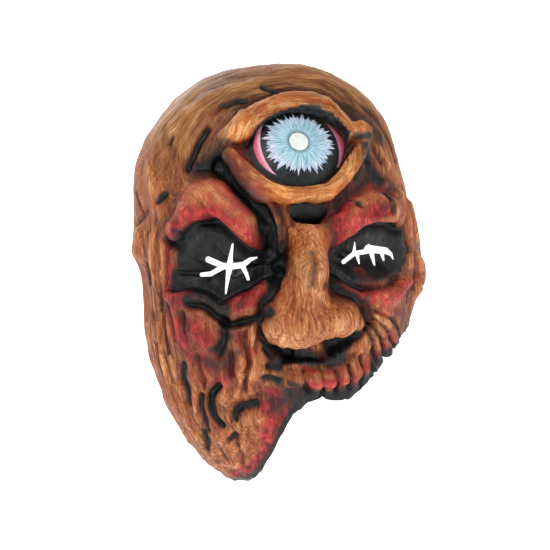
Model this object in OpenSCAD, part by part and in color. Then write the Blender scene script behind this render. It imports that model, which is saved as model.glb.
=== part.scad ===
// Three-eyed latex face mask with a snap-fastened elastic head strap.
// Frame: +Z up, the face looks along -Y, the origin is at the middle of the head opening
// at the height of the eye slits. Lengths are in millimetres and angles in degrees.

/* [Face shell] */
// Half width of the shell at eye level
half_width = 78; // [72:1:84]
// Depth of the shell from the head opening to the middle of the brow
shell_depth = 62; // [58:1:68]
// Height of the crown above eye level
crown_height = 105; // [98:1:112]
// Depth of the full chin below eye level, before the torn edge is cut
chin_drop = 128; // [120:1:134]
// Thickness of the latex
skin_wall = 3; // [2.5:0.5:4]
// Number of grid cells across the shell
grid_cells = 38; // [24:2:44]

/* [Third eye] */
// Length of the lid opening from corner to corner
lid_opening_w = 57; // [50:1:60]
// Height of the lid opening
lid_opening_h = 43; // [34:1:46]
// How far the corners of the lid opening stand above its middle
lid_corner_rise = 3.5; // [0:0.5:6]
// Radius of the domed eye insert
eye_radius = 50; // [46:1:56]
// Radius of the rim of the eye insert
eye_rim_radius = 32.5; // [31:0.5:34]
// Thickness of the eye insert
eye_wall = 2; // [1.5:0.5:3]

/* [Padding] */
// Thickness of the foam pad behind the eye insert
forehead_pad_t = 9; // [6:1:12]
// Thickness of the foam cheek pads
cheek_pad_t = 6; // [4:1:8]

/* [Snap fasteners] */
// Diameter of the anchor patches
patch_d = 24; // [22:1:26]
// Diameter of the snap caps
cap_d = 12.5; // [11:0.5:14]
// Diameter of the ball of the studs
ball_d = 4.4; // [4:0.1:5]
// Thickness of one snap flange
flange_t = 0.6; // [0.5:0.1:0.8]

/* [Strap] */
// Width of the elastic
band_w = 20; // [16:1:22]
// Thickness of the elastic
band_t = 1.2; // [1:0.1:1.5]
// Angle at which each side of the strap leans inwards towards the back
strap_lean = 20; // [17:1:23]
// Radius of the strap's bend at the back
rear_r = 42; // [38:1:45]
// Diameter of the wire of the ring
ring_wire = 2.4; // [2:0.2:2.6]
// Length of the slider along the strap
slider_l = 10; // [8:1:12]

/* [Hidden] */
$fn = 48;

// Squareness of the shell: 2 is an ellipsoid
shell_power = 2.3;
// Turn of the grid towards the wearer's right, so that it is centred on the shell
grid_turn = -12;
// Highest form on the inside of the latex: the sculpted ridges are thicker
inner_relief = 9;
// Gap left for glue between a pad or patch and the latex
glue_gap = 0.3;
// Gap round everything that turns or slides
running_gap = 0.3;

// Cheek pads: rings of points, points in a ring and half angle seen from the origin
pad_rings = 4;
pad_points = 20;
cheek_pad_spread = 13;

// The torn lower edge: [angle round the face from +X towards +Z, angle back from its middle]
TORN_EDGE = [
    [236, 120], [241, 92], [247, 88], [252, 86.5], [255, 83], [258, 77], [261, 68], [264, 61],
    [268, 55.5], [274, 53.5], [281, 54], [290, 59], [303, 61], [312, 63], [319, 69], [325, 80],
    [330, 95], [335, 112]
];

// Raised (+) and sunken (-) forms of the face, each along a line on the shell:
// [radius, height, [longitude, latitude] of each point of the line]
FORMS = [
    // nose: bridge, ridge, tip, wings and the hollow under it
    [9, 8, [[-1, 14], [-4, 0]]],
    [13, 16, [[-5, -2], [-9, -18]]],
    [13, 7, [[-10, -18], [-9, -20]]],
    [8, 7, [[-19, -21], [-10, -23], [1, -22]]],
    [8, 8, [[7, -21], [12, -23]]],
    [6, -4, [[-16, -34], [2, -34]]],
    // eye sockets and the brows above them
    [13, -12, [[-48, 4], [-24, 4]]],
    [10, -11, [[22, 1], [42, -1]]],
    [9, 7, [[-53, 16], [-45, 30], [-24, 18]]],
    [8, 6, [[18, 17], [45, 17]]],
    // groove from the corner of the lids down to the socket
    [4, -5, [[-38, 42], [-19, 24], [-14, 8]]],
    // upper and lower lids of the third eye and the hollow under it
    [6, 7, [[-40, 46], [-28, 57], [2, 64], [28, 58], [37, 47]]],
    [6, 6, [[-36, 42], [-22, 33], [2, 28], [22, 33], [37, 41]]],
    [5, -5, [[-4, 22], [6, 22]]],
    // bag under the eye, cheeks and muzzle
    [7, 4, [[-60, -9], [-27, -11]]],
    [16, 4, [[-52, -20], [-36, -26]]],
    [12, 5, [[38, -16], [28, -28]]],
    [10, 4, [[-28, -38], [14, -43]]],
    // temples, jaw and crown
    [18, -4, [[-84, -6], [-83, -8]]],
    [13, 7, [[84, 2], [84, -10]]],
    [20, -6, [[64, -40], [50, -56]]],
    [20, 5, [[-80, 40], [-66, 58]]],
    [20, 5, [[40, 68], [64, 48]]]
];

// Middle and upward tilt of the third eye
eye_middle = [1, -55, 62];
eye_tilt = 25;
// How far the pole of the eye stands in front of its middle
eye_pole = 1;
eye_rim_z = eye_pole - eye_radius + sqrt(pow(eye_radius, 2) - pow(eye_rim_radius, 2));

// Eye slits: where each cut is centred, the way it faces, and its tapered strokes
// [x, y, width, x, y, width]
SLIT_LEFT = [[-40, -46, 2], -30, [
    [0.5, 13.5, 0.8, -0.2, 0, 3],
    [-0.2, 0, 3, -1.4, -13.5, 0.8],
    [-1, -0.5, 2.6, -7.5, 0, 2.4],
    [-7.5, 0, 2.4, -12.5, 5, 1.8],
    [-7, 0.5, 2.4, -15.5, -3.5, 2],
    [0, 0, 2.6, 8.5, 2.6, 2.4],
    [8.5, 2.6, 2.4, 14.5, 6, 1.4],
    [7.5, 2, 2.4, 10.5, -7, 2]
]];
SLIT_RIGHT = [[38, -47, 1], 5, [
    [-14, -4.5, 1.4, -9, 1, 2.6],
    [-9, 1, 2.6, 6, 1.6, 2.8],
    [6, 1.6, 2.8, 14, -2.5, 1.6],
    [-7.5, 1, 2.4, -7, 8, 1],
    [-5, 1, 2.4, -4.5, -4.5, 1.2],
    [2.5, 1, 2.4, 4, -5, 1.4],
    [9, 1, 2.4, 10, -3.5, 1.4]
]];

// Turning axis of the strap
snap_y = -12;
snap_z = 20;
// Inner face of the anchor patches
patch_x = 68.5;
socket_l = 2.6;
post_tube_d = 3;
post_flange_d = 9;
stud_l = 3.2;
socket_start = flange_t + running_gap;
tab_start = socket_start + socket_l;
cap_start = tab_start + band_t;
cap_t = 1.3;

// Strap: faces of the end tabs, the ring and the two layers of elastic
tab_x = patch_x - tab_start;
tab_inner_x = tab_x - band_t;
fold_r = ring_wire / 2 + 0.1;
ring_x = tab_inner_x - fold_r;
layer_x = ring_x - fold_r;
ring_front_y = 6;
ring_rear_y = 17;
ring_half_h = band_w / 2 + ring_wire;
right_overlap_y = -1;
tab_front = 10;
right_tab_end_y = 17;
slider_wall = 1.8;

// Leaning parts on the left side: distances along the strap from the front bar of the ring
ring_l = ring_rear_y - ring_front_y;
slider_along = 30;
tail_along = 58;
layer_r = fold_r + band_t / 2;

// Middle line of the elastic in plan: [x, y, angle of its outward normal]
function bend(x, y, radius, start, end, steps) = [for (k = [0:steps])
    let (a = start + (end - start) * k / steps) [x + radius * cos(a), y + radius * sin(a), a]];
function leaned(across, along) = [
    across * cos(strap_lean) + along * sin(strap_lean) - ring_x,
    along * cos(strap_lean) - across * sin(strap_lean) + ring_front_y];
lean_start_y = 18;
lean_r = 20;
right_middle = tab_inner_x - band_t / 2;
RIGHT_BEND = bend(right_middle - lean_r, lean_start_y, lean_r, 0, strap_lean, 6);
right_run = [for (k = [0:1]) RIGHT_BEND[6][k]];
left_run = leaned(-layer_r, ring_l);
right_inward = [-cos(strap_lean), -sin(strap_lean)];
left_inward = [cos(strap_lean), -sin(strap_lean)];
rear_y = -(2 * rear_r + left_run * left_inward + right_run * right_inward) / (2 * sin(strap_lean));
rear_x = (rear_r + left_run * left_inward + rear_y * sin(strap_lean)) / cos(strap_lean);
ring_rear = leaned(0, ring_l);
tail_end = leaned(layer_r, tail_along);
ELASTIC_LINE = concat(
    [[right_middle, right_overlap_y, 0]],
    RIGHT_BEND,
    bend(rear_x, rear_y, rear_r, strap_lean, 180 - strap_lean, 48),
    bend(ring_rear[0], ring_rear[1], layer_r, 180 - strap_lean, 360 - strap_lean, 16),
    [[tail_end[0], tail_end[1], 360 - strap_lean]]);

function direction(lon, lat) = [sin(lon) * cos(lat), -cos(lon) * cos(lat), sin(lat)];

// Distance from the origin to the plain shell in a direction
function shell_radius(d) = pow(
    pow(abs(d[0]) / half_width, shell_power) + pow(abs(d[1]) / shell_depth, shell_power)
    + pow(abs(d[2]) / (d[2] > 0 ? crown_height : chin_drop), shell_power), -1 / shell_power);
function on_shell(d) = shell_radius(d) * d;

// Each form with the points of its line on the plain shell
FORM_LINES = [for (f = FORMS)
    [f[0], f[1], [for (point = f[2]) on_shell(direction(point[0], point[1]))]]];

function segment_distance(p, a, b) =
    let (along = b - a, share = ((p - a) * along) / (along * along))
    norm(p - a - along * min(max(share, 0), 1));
function line_distance(p, line) =
    min([for (k = [1:len(line) - 1]) segment_distance(p, line[k - 1], line[k])]);
function form_height(p, form, highest) =
    min(form[1], highest) * exp(-pow(line_distance(p, form[2]) / form[0], 2));
function all_forms(p, highest) =
    [for (form = FORM_LINES) form_height(p, form, highest)] * [for (form = FORM_LINES) 1];

// Point of the shell at a depth under its outer surface
function shell_point(d, depth) =
    let (p = on_shell(d))
    p + (all_forms(p, depth > 0 ? inner_relief : 99) - depth) * d;

// Back angle of the rim: the flat head opening, or the torn edge where that is nearer
function rim_back(clock) =
    min(atan2(cos(grid_turn), sin(grid_turn) * cos(clock)), lookup(clock, TORN_EDGE));

// Direction of a grid point; u and v run from -1 to 1 over a square laid on the face
function grid_direction(u, v) =
    let (
        wide = abs(u) >= abs(v),
        reach = max(abs(u), abs(v)),
        turn = reach == 0 ? 0 : wide ? 45 * v / u : -45 * u / v,
        start = wide ? (u >= 0 ? 0 : 180) : (v > 0 ? 90 : 270),
        clock = (start + turn + 360) % 360,
        back = rim_back(clock) * reach,
        x = sin(back) * cos(clock),
        y = -cos(back)
    )
    [x * cos(grid_turn) - y * sin(grid_turn), x * sin(grid_turn) + y * cos(grid_turn),
        sin(back) * sin(clock)];

GRID = [for (i = [0:grid_cells]) for (j = [0:grid_cells])
    grid_direction(2 * i / grid_cells - 1, 2 * j / grid_cells - 1)];
function grid_index(i, j) = i * (grid_cells + 1) + j;
// Grid points along the rim, in order
RIM = concat(
    [for (i = [0:grid_cells - 1]) grid_index(i, 0)],
    [for (j = [0:grid_cells - 1]) grid_index(grid_cells, j)],
    [for (i = [grid_cells:-1:1]) grid_index(i, grid_cells)],
    [for (j = [grid_cells:-1:1]) grid_index(0, j)]);
// Two triangles for each grid cell, cut along the diagonal that points at the middle
FRONT_FACES = [for (i = [0:grid_cells - 1]) for (j = [0:grid_cells - 1])
    let (
        a = grid_index(i, j), b = grid_index(i + 1, j),
        c = grid_index(i + 1, j + 1), d = grid_index(i, j + 1),
        rising = (i < grid_cells / 2) == (j < grid_cells / 2)
    )
    each (rising ? [[a, c, b], [a, d, c]] : [[a, d, b], [b, d, c]])];
function flipped(faces, shift) = [for (f = faces) [f[2] + shift, f[1] + shift, f[0] + shift]];

// Latex shell between its outer and inner surfaces
module shell_wall() {
    count = len(GRID);
    outer = [for (d = GRID) shell_point(d, 0)];
    inner = [for (d = GRID) shell_point(d, skin_wall)];
    edge = [for (k = [0:len(RIM) - 1])
        let (a = RIM[k], b = RIM[(k + 1) % len(RIM)])
        each [[a, b, a + count], [b, b + count, a + count]]];
    polyhedron(points = concat(outer, inner),
        faces = concat(FRONT_FACES, flipped(FRONT_FACES, count), edge));
}

// Everything inside the shell, down from a depth under its surface to the origin
module shell_inside(depth) {
    count = len(GRID);
    fan = [for (k = [0:len(RIM) - 1]) [RIM[k], count, RIM[(k + 1) % len(RIM)]]];
    polyhedron(points = concat([for (d = GRID) shell_point(d, depth)], [[0, 0, 0]]),
        faces = concat(FRONT_FACES, flipped(fan, 0)));
}

// Places things in front of the third eye's middle, looking out along its axis
module at_eye() {
    translate(eye_middle) rotate([90 - eye_tilt, 0, 0]) children();
}

// Almond outline of two arcs that meet at the raised corners of the eye
module almond(width, height, corner_rise) {
    intersection_for(side = [1, -1]) {
        bulge = height / 2 - side * corner_rise;
        arc_r = (pow(width / 2, 2) + pow(bulge, 2)) / (2 * bulge);
        translate([0, side * (height / 2 - arc_r)]) circle(r = arc_r, $fn = 96);
    }
}

// One tapered cut with round ends
module stroke(s) {
    run = [s[3] - s[0], s[4] - s[1]];
    side = [-run[1], run[0]] / norm(run) / 2;
    a = [s[0], s[1]];
    b = [s[3], s[4]];
    polygon([a + side * s[2], a - side * s[2], b - side * s[5], b + side * s[5]]);
    translate(a) circle(d = s[2], $fn = 16);
    translate(b) circle(d = s[5], $fn = 16);
}

module slit_cut(slit) {
    translate(slit[0]) rotate([90, 0, slit[1]])
        translate([0, 0, -14]) linear_extrude(28)
            for (s = slit[2]) stroke(s);
}

module mask_skin() color("peru") difference() {
    shell_wall();
    at_eye() translate([0, 0, eye_rim_z - 9]) linear_extrude(40)
        almond(lid_opening_w, lid_opening_h, lid_corner_rise);
    at_eye() intersection() {
        translate([0, 0, eye_pole - eye_radius]) sphere(r = eye_radius + glue_gap);
        translate([0, 0, eye_rim_z - 9]) cylinder(r = eye_rim_radius + glue_gap, h = 40);
    }
    slit_cut(SLIT_LEFT);
    slit_cut(SLIT_RIGHT);
}

module eye_dome() color("lightblue") at_eye() rotate_extrude($fn = 96) intersection() {
    translate([0, eye_pole - eye_radius]) difference() {
        circle(r = eye_radius, $fn = 144);
        circle(r = eye_radius - eye_wall, $fn = 144);
    }
    translate([0, eye_rim_z]) square([eye_rim_radius, eye_pole - eye_rim_z + 1]);
}

module forehead_pad() color("dimgray") at_eye()
    translate([0, 0, eye_rim_z - forehead_pad_t]) rotate_extrude() {
        edge = 3;
        square([eye_rim_radius + 1 - edge, forehead_pad_t]);
        translate([0, edge]) square([eye_rim_radius + 1, forehead_pad_t - edge]);
        translate([eye_rim_radius + 1 - edge, edge]) circle(r = edge);
    }

// Round foam pad that follows the inside of the latex, made of rings of points
module cheek_pad(lon, lat) {
    count = pad_rings * pad_points + 1;
    spread = [for (k = [0:count - 1])
        let (
            ring = k == 0 ? 0 : ceil(k / pad_points),
            back = cheek_pad_spread * ring / pad_rings,
            clock = 360 * k / pad_points,
            side = sin(back) * cos(clock),
            rise = sin(back) * sin(clock),
            tilted = cos(back) * cos(lat) - rise * sin(lat)
        )
        [side * cos(lon) + tilted * sin(lon), side * sin(lon) - tilted * cos(lon),
            cos(back) * sin(lat) + rise * cos(lat)]];
    middle = [for (k = [1:pad_points]) [0, k % pad_points + 1, k]];
    bands = [for (r = [1:pad_rings - 1]) for (k = [1:pad_points])
        let (
            a = (r - 1) * pad_points + k,
            b = (r - 1) * pad_points + k % pad_points + 1
        )
        each [[a, b, a + pad_points], [b, b + pad_points, a + pad_points]]];
    edge = [for (k = [1:pad_points])
        let (
            a = (pad_rings - 1) * pad_points + k,
            b = (pad_rings - 1) * pad_points + k % pad_points + 1
        )
        each [[a, b, a + count], [b, b + count, a + count]]];
    front = concat(middle, bands);
    polyhedron(
        points = concat(
            [for (d = spread) shell_point(d, skin_wall + glue_gap)],
            [for (d = spread) shell_point(d, skin_wall + glue_gap + cheek_pad_t)]),
        faces = concat(front, flipped(front, count), edge));
}
module left_cheek_pad() color("dimgray") cheek_pad(-62, -22);
module right_cheek_pad() color("dimgray") cheek_pad(62, -22);

// Places things on the turning axis of the strap: the wearer's left is at side = 1.
// Local +Z runs from the patch towards the middle of the head.
module at_snap(side) {
    translate([side * patch_x, snap_y, snap_z]) rotate([0, -side * 90, 0]) children();
}

module anchor_patch(side) difference() {
    intersection() {
        shell_inside(skin_wall + glue_gap);
        at_snap(side) translate([0, 0, -20]) cylinder(d = patch_d, h = 20);
    }
    at_snap(side) translate([0, 0, -21]) cylinder(d = post_tube_d + 0.2, h = 22);
    at_snap(side) translate([0, 0, -21]) cylinder(d = post_flange_d + 0.4, h = 20);
}
module left_anchor_patch() color("black") anchor_patch(-1);
module right_anchor_patch() color("black") anchor_patch(1);

// Rivet that clamps the stud to the patch
module snap_post(side) at_snap(side) {
    translate([0, 0, -1 - flange_t]) cylinder(d = post_flange_d, h = flange_t);
    translate([0, 0, -1]) cylinder(d = post_tube_d, h = 2.2);
}
module left_snap_post() color("silver") snap_post(-1);
module right_snap_post() color("silver") snap_post(1);

module snap_stud(side) at_snap(side) rotate_extrude() {
    bore = post_tube_d / 2 + 0.05;
    translate([bore, 0]) square([cap_d / 2 - 0.5 - bore, flange_t]);
    translate([bore, 0]) square([ball_d / 2 - bore, stud_l]);
    translate([0, 2.3]) square([ball_d / 2, stud_l - 2.3]);
}
module left_snap_stud() color("silver") snap_stud(-1);
module right_snap_stud() color("silver") snap_stud(1);

module snap_socket(side) at_snap(side) translate([0, 0, socket_start]) difference() {
    cylinder(d = cap_d - 1.5, h = socket_l);
    translate([0, 0, -1]) cylinder(d = ball_d + 2 * running_gap, h = socket_l + 2);
}
module left_snap_socket() color("silver") snap_socket(-1);
module right_snap_socket() color("silver") snap_socket(1);

module snap_cap(side) at_snap(side) translate([0, 0, cap_start]) rotate_extrude() {
    square([cap_d / 2 - 0.5, cap_t]);
    translate([0, 0.3]) square([cap_d / 2, cap_t - 0.8]);
}
module left_snap_cap() color("darkslategray") snap_cap(-1);
module right_snap_cap() color("darkslategray") snap_cap(1);

// Draws a plan of the strap, seen from above, and gives it the width of the elastic
module strap_plan() {
    translate([0, 0, snap_z - band_w / 2]) linear_extrude(band_w) children();
}

// Half of a round fold in plan, open towards -Y
module fold_plan(x, y) {
    translate([x, y]) intersection() {
        difference() {
            circle(r = fold_r + band_t);
            circle(r = fold_r);
        }
        translate([-9, 0]) square([18, 9]);
    }
}

// Round front end of a tab, cut from the strap's straight plan
module tab_front_round(side) {
    translate([side * (tab_inner_x - 1), snap_y, snap_z]) rotate([0, side * 90, 0])
        cylinder(r = band_w / 2, h = band_t + 2);
}

module right_end_tab() color("black") {
    strap_plan() translate([tab_inner_x, snap_y]) square([band_t, right_tab_end_y - snap_y]);
    intersection() {
        tab_front_round(1);
        strap_plan() translate([tab_inner_x, snap_y - tab_front]) square([band_t, tab_front]);
    }
}

module left_end_tab() color("black") {
    strap_plan() {
        translate([-tab_x, snap_y]) square([band_t, ring_front_y - snap_y]);
        fold_plan(-ring_x, ring_front_y);
        translate([-layer_x, ring_front_y - 8]) square([band_t, 8]);
    }
    intersection() {
        tab_front_round(-1);
        strap_plan() translate([-tab_x, snap_y - tab_front]) square([band_t, tab_front]);
    }
}

// Places things on the front bar of the ring; local +Y runs back along the left side
module at_ring() translate([-ring_x, ring_front_y, snap_z]) rotate([0, 0, -strap_lean]) children();

module band_ring() color("silver") at_ring() {
    for (y = [0, ring_l]) {
        translate([0, y, -ring_half_h]) cylinder(d = ring_wire, h = 2 * ring_half_h);
    }
    for (z = [-ring_half_h, ring_half_h]) {
        translate([0, 0, z]) rotate([-90, 0, 0]) cylinder(d = ring_wire, h = ring_l);
        for (y = [0, ring_l]) {
            translate([0, y, z]) sphere(d = ring_wire);
        }
    }
}

module elastic_band() color("black") strap_plan() {
    count = len(ELASTIC_LINE);
    polygon([for (side = [1, -1]) for (k = [0:count - 1])
        let (p = ELASTIC_LINE[side > 0 ? k : count - 1 - k])
        [p[0], p[1]] + side * band_t / 2 * [cos(p[2]), sin(p[2])]]);
}

// Thread on a flat face: rows of short stitches across the strap
module stitch_row(x, y) {
    for (k = [-3:3]) {
        translate([x, y, snap_z + 2.6 * k - 0.8]) cube([0.4, 0.5, 1.6]);
    }
}

module strap_stitching() color("gainsboro") {
    for (y = [1, 6, 11]) stitch_row(tab_inner_x - band_t - 0.4, y);
    for (y = [ring_front_y - 6, ring_front_y - 3]) stitch_row(-tab_x - 0.4, y);
}

module strap_slider() color("dimgray") at_ring() {
    half_w = fold_r + band_t + running_gap + slider_wall;
    half_h = band_w / 2 + 3;
    slot_half_h = band_w / 2 + running_gap;
    difference() {
        translate([-half_w, slider_along - slider_l / 2, -half_h])
            cube([2 * half_w, slider_l, 2 * half_h]);
        for (x = [-fold_r - band_t, fold_r]) {
            translate([x - running_gap, slider_along - slider_l, -slot_half_h])
                cube([band_t + 2 * running_gap, 2 * slider_l, 2 * slot_half_h]);
        }
    }
}

mask_skin();
eye_dome();
forehead_pad();
left_cheek_pad();
right_cheek_pad();
left_anchor_patch();
right_anchor_patch();
left_snap_post();
right_snap_post();
left_snap_stud();
right_snap_stud();
left_snap_socket();
right_snap_socket();
left_snap_cap();
right_snap_cap();
left_end_tab();
right_end_tab();
band_ring();
elastic_band();
strap_stitching();
strap_slider();
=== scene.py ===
"""Looks of the three-eyed latex mask: sculpted and painted skin, eye, pads and head strap."""
import math
import bpy
import numpy as np
from mathutils import Matrix, Vector, kdtree


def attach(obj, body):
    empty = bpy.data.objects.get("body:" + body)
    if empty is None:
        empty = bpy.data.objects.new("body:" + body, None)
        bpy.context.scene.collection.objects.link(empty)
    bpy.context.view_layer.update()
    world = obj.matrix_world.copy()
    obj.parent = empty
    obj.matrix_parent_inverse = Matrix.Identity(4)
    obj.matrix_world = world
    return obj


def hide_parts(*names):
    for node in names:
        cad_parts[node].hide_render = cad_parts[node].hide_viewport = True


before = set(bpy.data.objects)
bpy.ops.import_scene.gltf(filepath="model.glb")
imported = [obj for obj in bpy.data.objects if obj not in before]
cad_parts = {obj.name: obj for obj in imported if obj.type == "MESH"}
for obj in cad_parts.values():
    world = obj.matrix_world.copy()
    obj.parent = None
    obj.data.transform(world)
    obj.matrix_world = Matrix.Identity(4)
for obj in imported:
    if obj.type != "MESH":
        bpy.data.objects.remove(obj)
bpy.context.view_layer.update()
MM = 0.001

# ---------------------------------------------------------------- camera, lights and floor
VIEW_YAW, VIEW_RISE, VIEW_ROLL = math.radians(-19.5), math.radians(6), math.radians(4.8)
VIEW_TARGET, VIEW_AIM = Vector((0, -30, 0)), (-8.56, -7.49)
VIEW_DISTANCE, LENS = 900, 110.2


def view_axes():
    """Right, up and backward directions of the camera, before it is aimed off the target."""
    back = Vector((math.sin(VIEW_YAW) * math.cos(VIEW_RISE), -math.cos(VIEW_YAW) * math.cos(VIEW_RISE), math.sin(VIEW_RISE)))
    level = (-back).cross(Vector((0, 0, 1))).normalized()
    upright = level.cross(-back)
    c, s = math.cos(VIEW_ROLL), math.sin(VIEW_ROLL)
    return level * c - upright * s, upright * c + level * s, back


VIEW_RIGHT, VIEW_UP, VIEW_BACK = view_axes()


def place_camera():
    spot = VIEW_TARGET + VIEW_BACK * VIEW_DISTANCE
    aim = VIEW_TARGET + VIEW_RIGHT * VIEW_AIM[0] + VIEW_UP * VIEW_AIM[1]
    back = (spot - aim).normalized()
    right = VIEW_UP.cross(back).normalized()
    up = back.cross(right)
    lens = bpy.data.cameras.new("camera")
    lens.lens, lens.sensor_width = LENS, 36
    lens.clip_start, lens.clip_end = 0.05, 20
    camera = bpy.data.objects.new("camera", lens)
    bpy.context.scene.collection.objects.link(camera)
    camera.matrix_world = Matrix.Translation(spot * MM) @ Matrix((right, up, back)).transposed().to_4x4()
    bpy.context.scene.camera = camera


def area_light(name, place, size, watts, colour=(1, 1, 1)):
    light = bpy.data.lights.new(name, "AREA")
    light.shape, light.size, light.energy, light.color = "DISK", size, watts, colour
    lamp = bpy.data.objects.new(name, light)
    bpy.context.scene.collection.objects.link(lamp)
    lamp.location = place
    lamp.rotation_euler = (Vector((0, -0.03, 0)) - lamp.location).to_track_quat("-Z", "Y").to_euler()


def link(name, mesh):
    piece = bpy.data.objects.new(name, mesh)
    bpy.context.scene.collection.objects.link(piece)
    return piece


def mesh_piece(name, points, faces, material=None, smooth=True):
    """A new mesh object from points in millimetres."""
    mesh = bpy.data.meshes.new(name)
    mesh.from_pydata([tuple(p) for p in np.asarray(points) * MM], [], faces)
    mesh.validate()
    if smooth:
        mesh.shade_smooth()
    piece = link(name, mesh)
    if material:
        mesh.materials.append(material)
    return piece


# ---------------------------------------------------------------- node materials
def paint_colour(r, g, b):
    """Linear colour with alpha from an 8-bit display colour."""
    def linear(value):
        value /= 255
        return value / 12.92 if value <= 0.04045 else ((value + 0.055) / 1.055) ** 2.4
    return linear(r), linear(g), linear(b), 1.0


class Nodes:
    """A material and short ways to add nodes to it."""

    def __init__(self, name):
        self.material = bpy.data.materials.new(name)
        self.material.use_nodes = True
        self.tree = self.material.node_tree
        self.tree.nodes.clear()
        self.place = self.add("TexCoord", out="Object")

    def add(self, kind, inputs=(), out=0, **settings):
        node = self.tree.nodes.new("ShaderNode" + kind)
        for key, value in settings.items():
            setattr(node, key, value)
        for key, value in dict(inputs).items():
            if isinstance(value, bpy.types.NodeSocket):
                self.tree.links.new(value, node.inputs[key])
            else:
                node.inputs[key].default_value = value
        return node.outputs[out] if node.outputs else None

    def math(self, operation, *values, clamp=False):
        return self.add("Math", dict(enumerate(values)), operation=operation, use_clamp=clamp)

    def vector(self, operation, *values, out=0):
        return self.add("VectorMath", dict(enumerate(values)), out=out, operation=operation)

    def mapped(self, scale, vector=None):
        return self.vector("MULTIPLY", vector or self.place, scale)

    def noise(self, vector, scale=1.0, detail=2.0, roughness=0.5, distortion=0.0):
        return self.add("TexNoise", {"Vector": vector, "Scale": scale, "Detail": detail, "Roughness": roughness,
                                     "Distortion": distortion}, out="Fac")

    def span(self, value, low, high, to_low=0.0, to_high=1.0, smooth=True):
        return self.add("MapRange", {0: value, 1: low, 2: high, 3: to_low, 4: to_high},
                        interpolation_type="SMOOTHSTEP" if smooth else "LINEAR")

    def mix(self, share, a, b, blend="MIX"):
        return self.add("Mix", {0: share, 6: a, 7: b}, out=2, data_type="RGBA", blend_type=blend)

    def blend(self, share, a, b):
        """Mix of two numbers."""
        return self.add("Mix", {0: share, 2: a, 3: b}, out=0)

    def ramp(self, value, *stops):
        node = self.tree.nodes.new("ShaderNodeValToRGB")
        marks = node.color_ramp.elements
        while len(marks) < len(stops):
            marks.new(1.0)
        for mark, (position, colour) in zip(marks, stops):
            mark.position, mark.color = position, colour
        self.tree.links.new(value, node.inputs[0])
        return node.outputs[0]

    def bump(self, height, distance, strength=1.0, under=None):
        inputs = {"Height": height, "Distance": distance, "Strength": strength}
        if under:
            inputs["Normal"] = under
        return self.add("Bump", inputs)

    def finish(self, **inputs):
        """Ends the material in a Principled surface: spaces in the input names are written as _."""
        surface = self.add("BsdfPrincipled", {key.replace("_", " "): value for key, value in inputs.items()})
        self.add("OutputMaterial", {"Surface": surface})
        return self.material


# ---------------------------------------------------------------- tables of the sculpt and the paint
# angle round the face from +X towards +Z and angle back from its middle, as in the CAD shell
TORN_EDGE = [(236, 120), (241, 92), (247, 88), (252, 86.5), (255, 83), (258, 77), (261, 68), (264, 61), (268, 55.5),
             (274, 53.5), (281, 54), (290, 59), (303, 61), (312, 63), (319, 69), (325, 80), (330, 95), (335, 112)]

# radius, height and points (longitude, latitude) of each form of the CAD shell
FORMS = [
    (9, 8, [(-1, 14), (-4, 0)]), (13, 16, [(-5, -2), (-8, -15)]), (12, 7, [(-10, -16), (-9, -18)]),
    (8, 7, [(-19, -21), (-10, -23), (1, -22)]), (8, 8, [(7, -21), (12, -23)]), (6, -6, [(-18, -33), (4, -33)]),
    (13, -12, [(-48, 4), (-24, 4)]), (10, -11, [(22, 1), (42, -1)]),
    (9, 7, [(-53, 16), (-45, 30), (-24, 18)]), (8, 6, [(18, 17), (45, 17)]),
    (4, -5, [(-38, 42), (-19, 24), (-14, 8)]),
    (5.2, 6.5, [(-34, 46), (-26, 54.5), (2, 60.5), (25, 55.5), (33, 47)]),
    (5, 5.5, [(-34, 42), (-22, 34), (2, 29.5), (22, 34), (36, 42)]), (5, -5, [(-4, 22), (6, 22)]),
    (7, 4, [(-60, -9), (-27, -11)]), (16, 4, [(-52, -20), (-36, -26)]), (12, 5, [(38, -16), (28, -28)]),
    (10, 4, [(-28, -38), (14, -43)]), (18, -4, [(-84, -6), (-83, -8)]), (13, 7, [(84, 2), (84, -10)]),
    (20, -6, [(64, -40), (50, -56)]), (20, 5, [(-80, 40), (-66, 58)]), (20, 5, [(40, 68), (64, 48)]),
]
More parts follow.
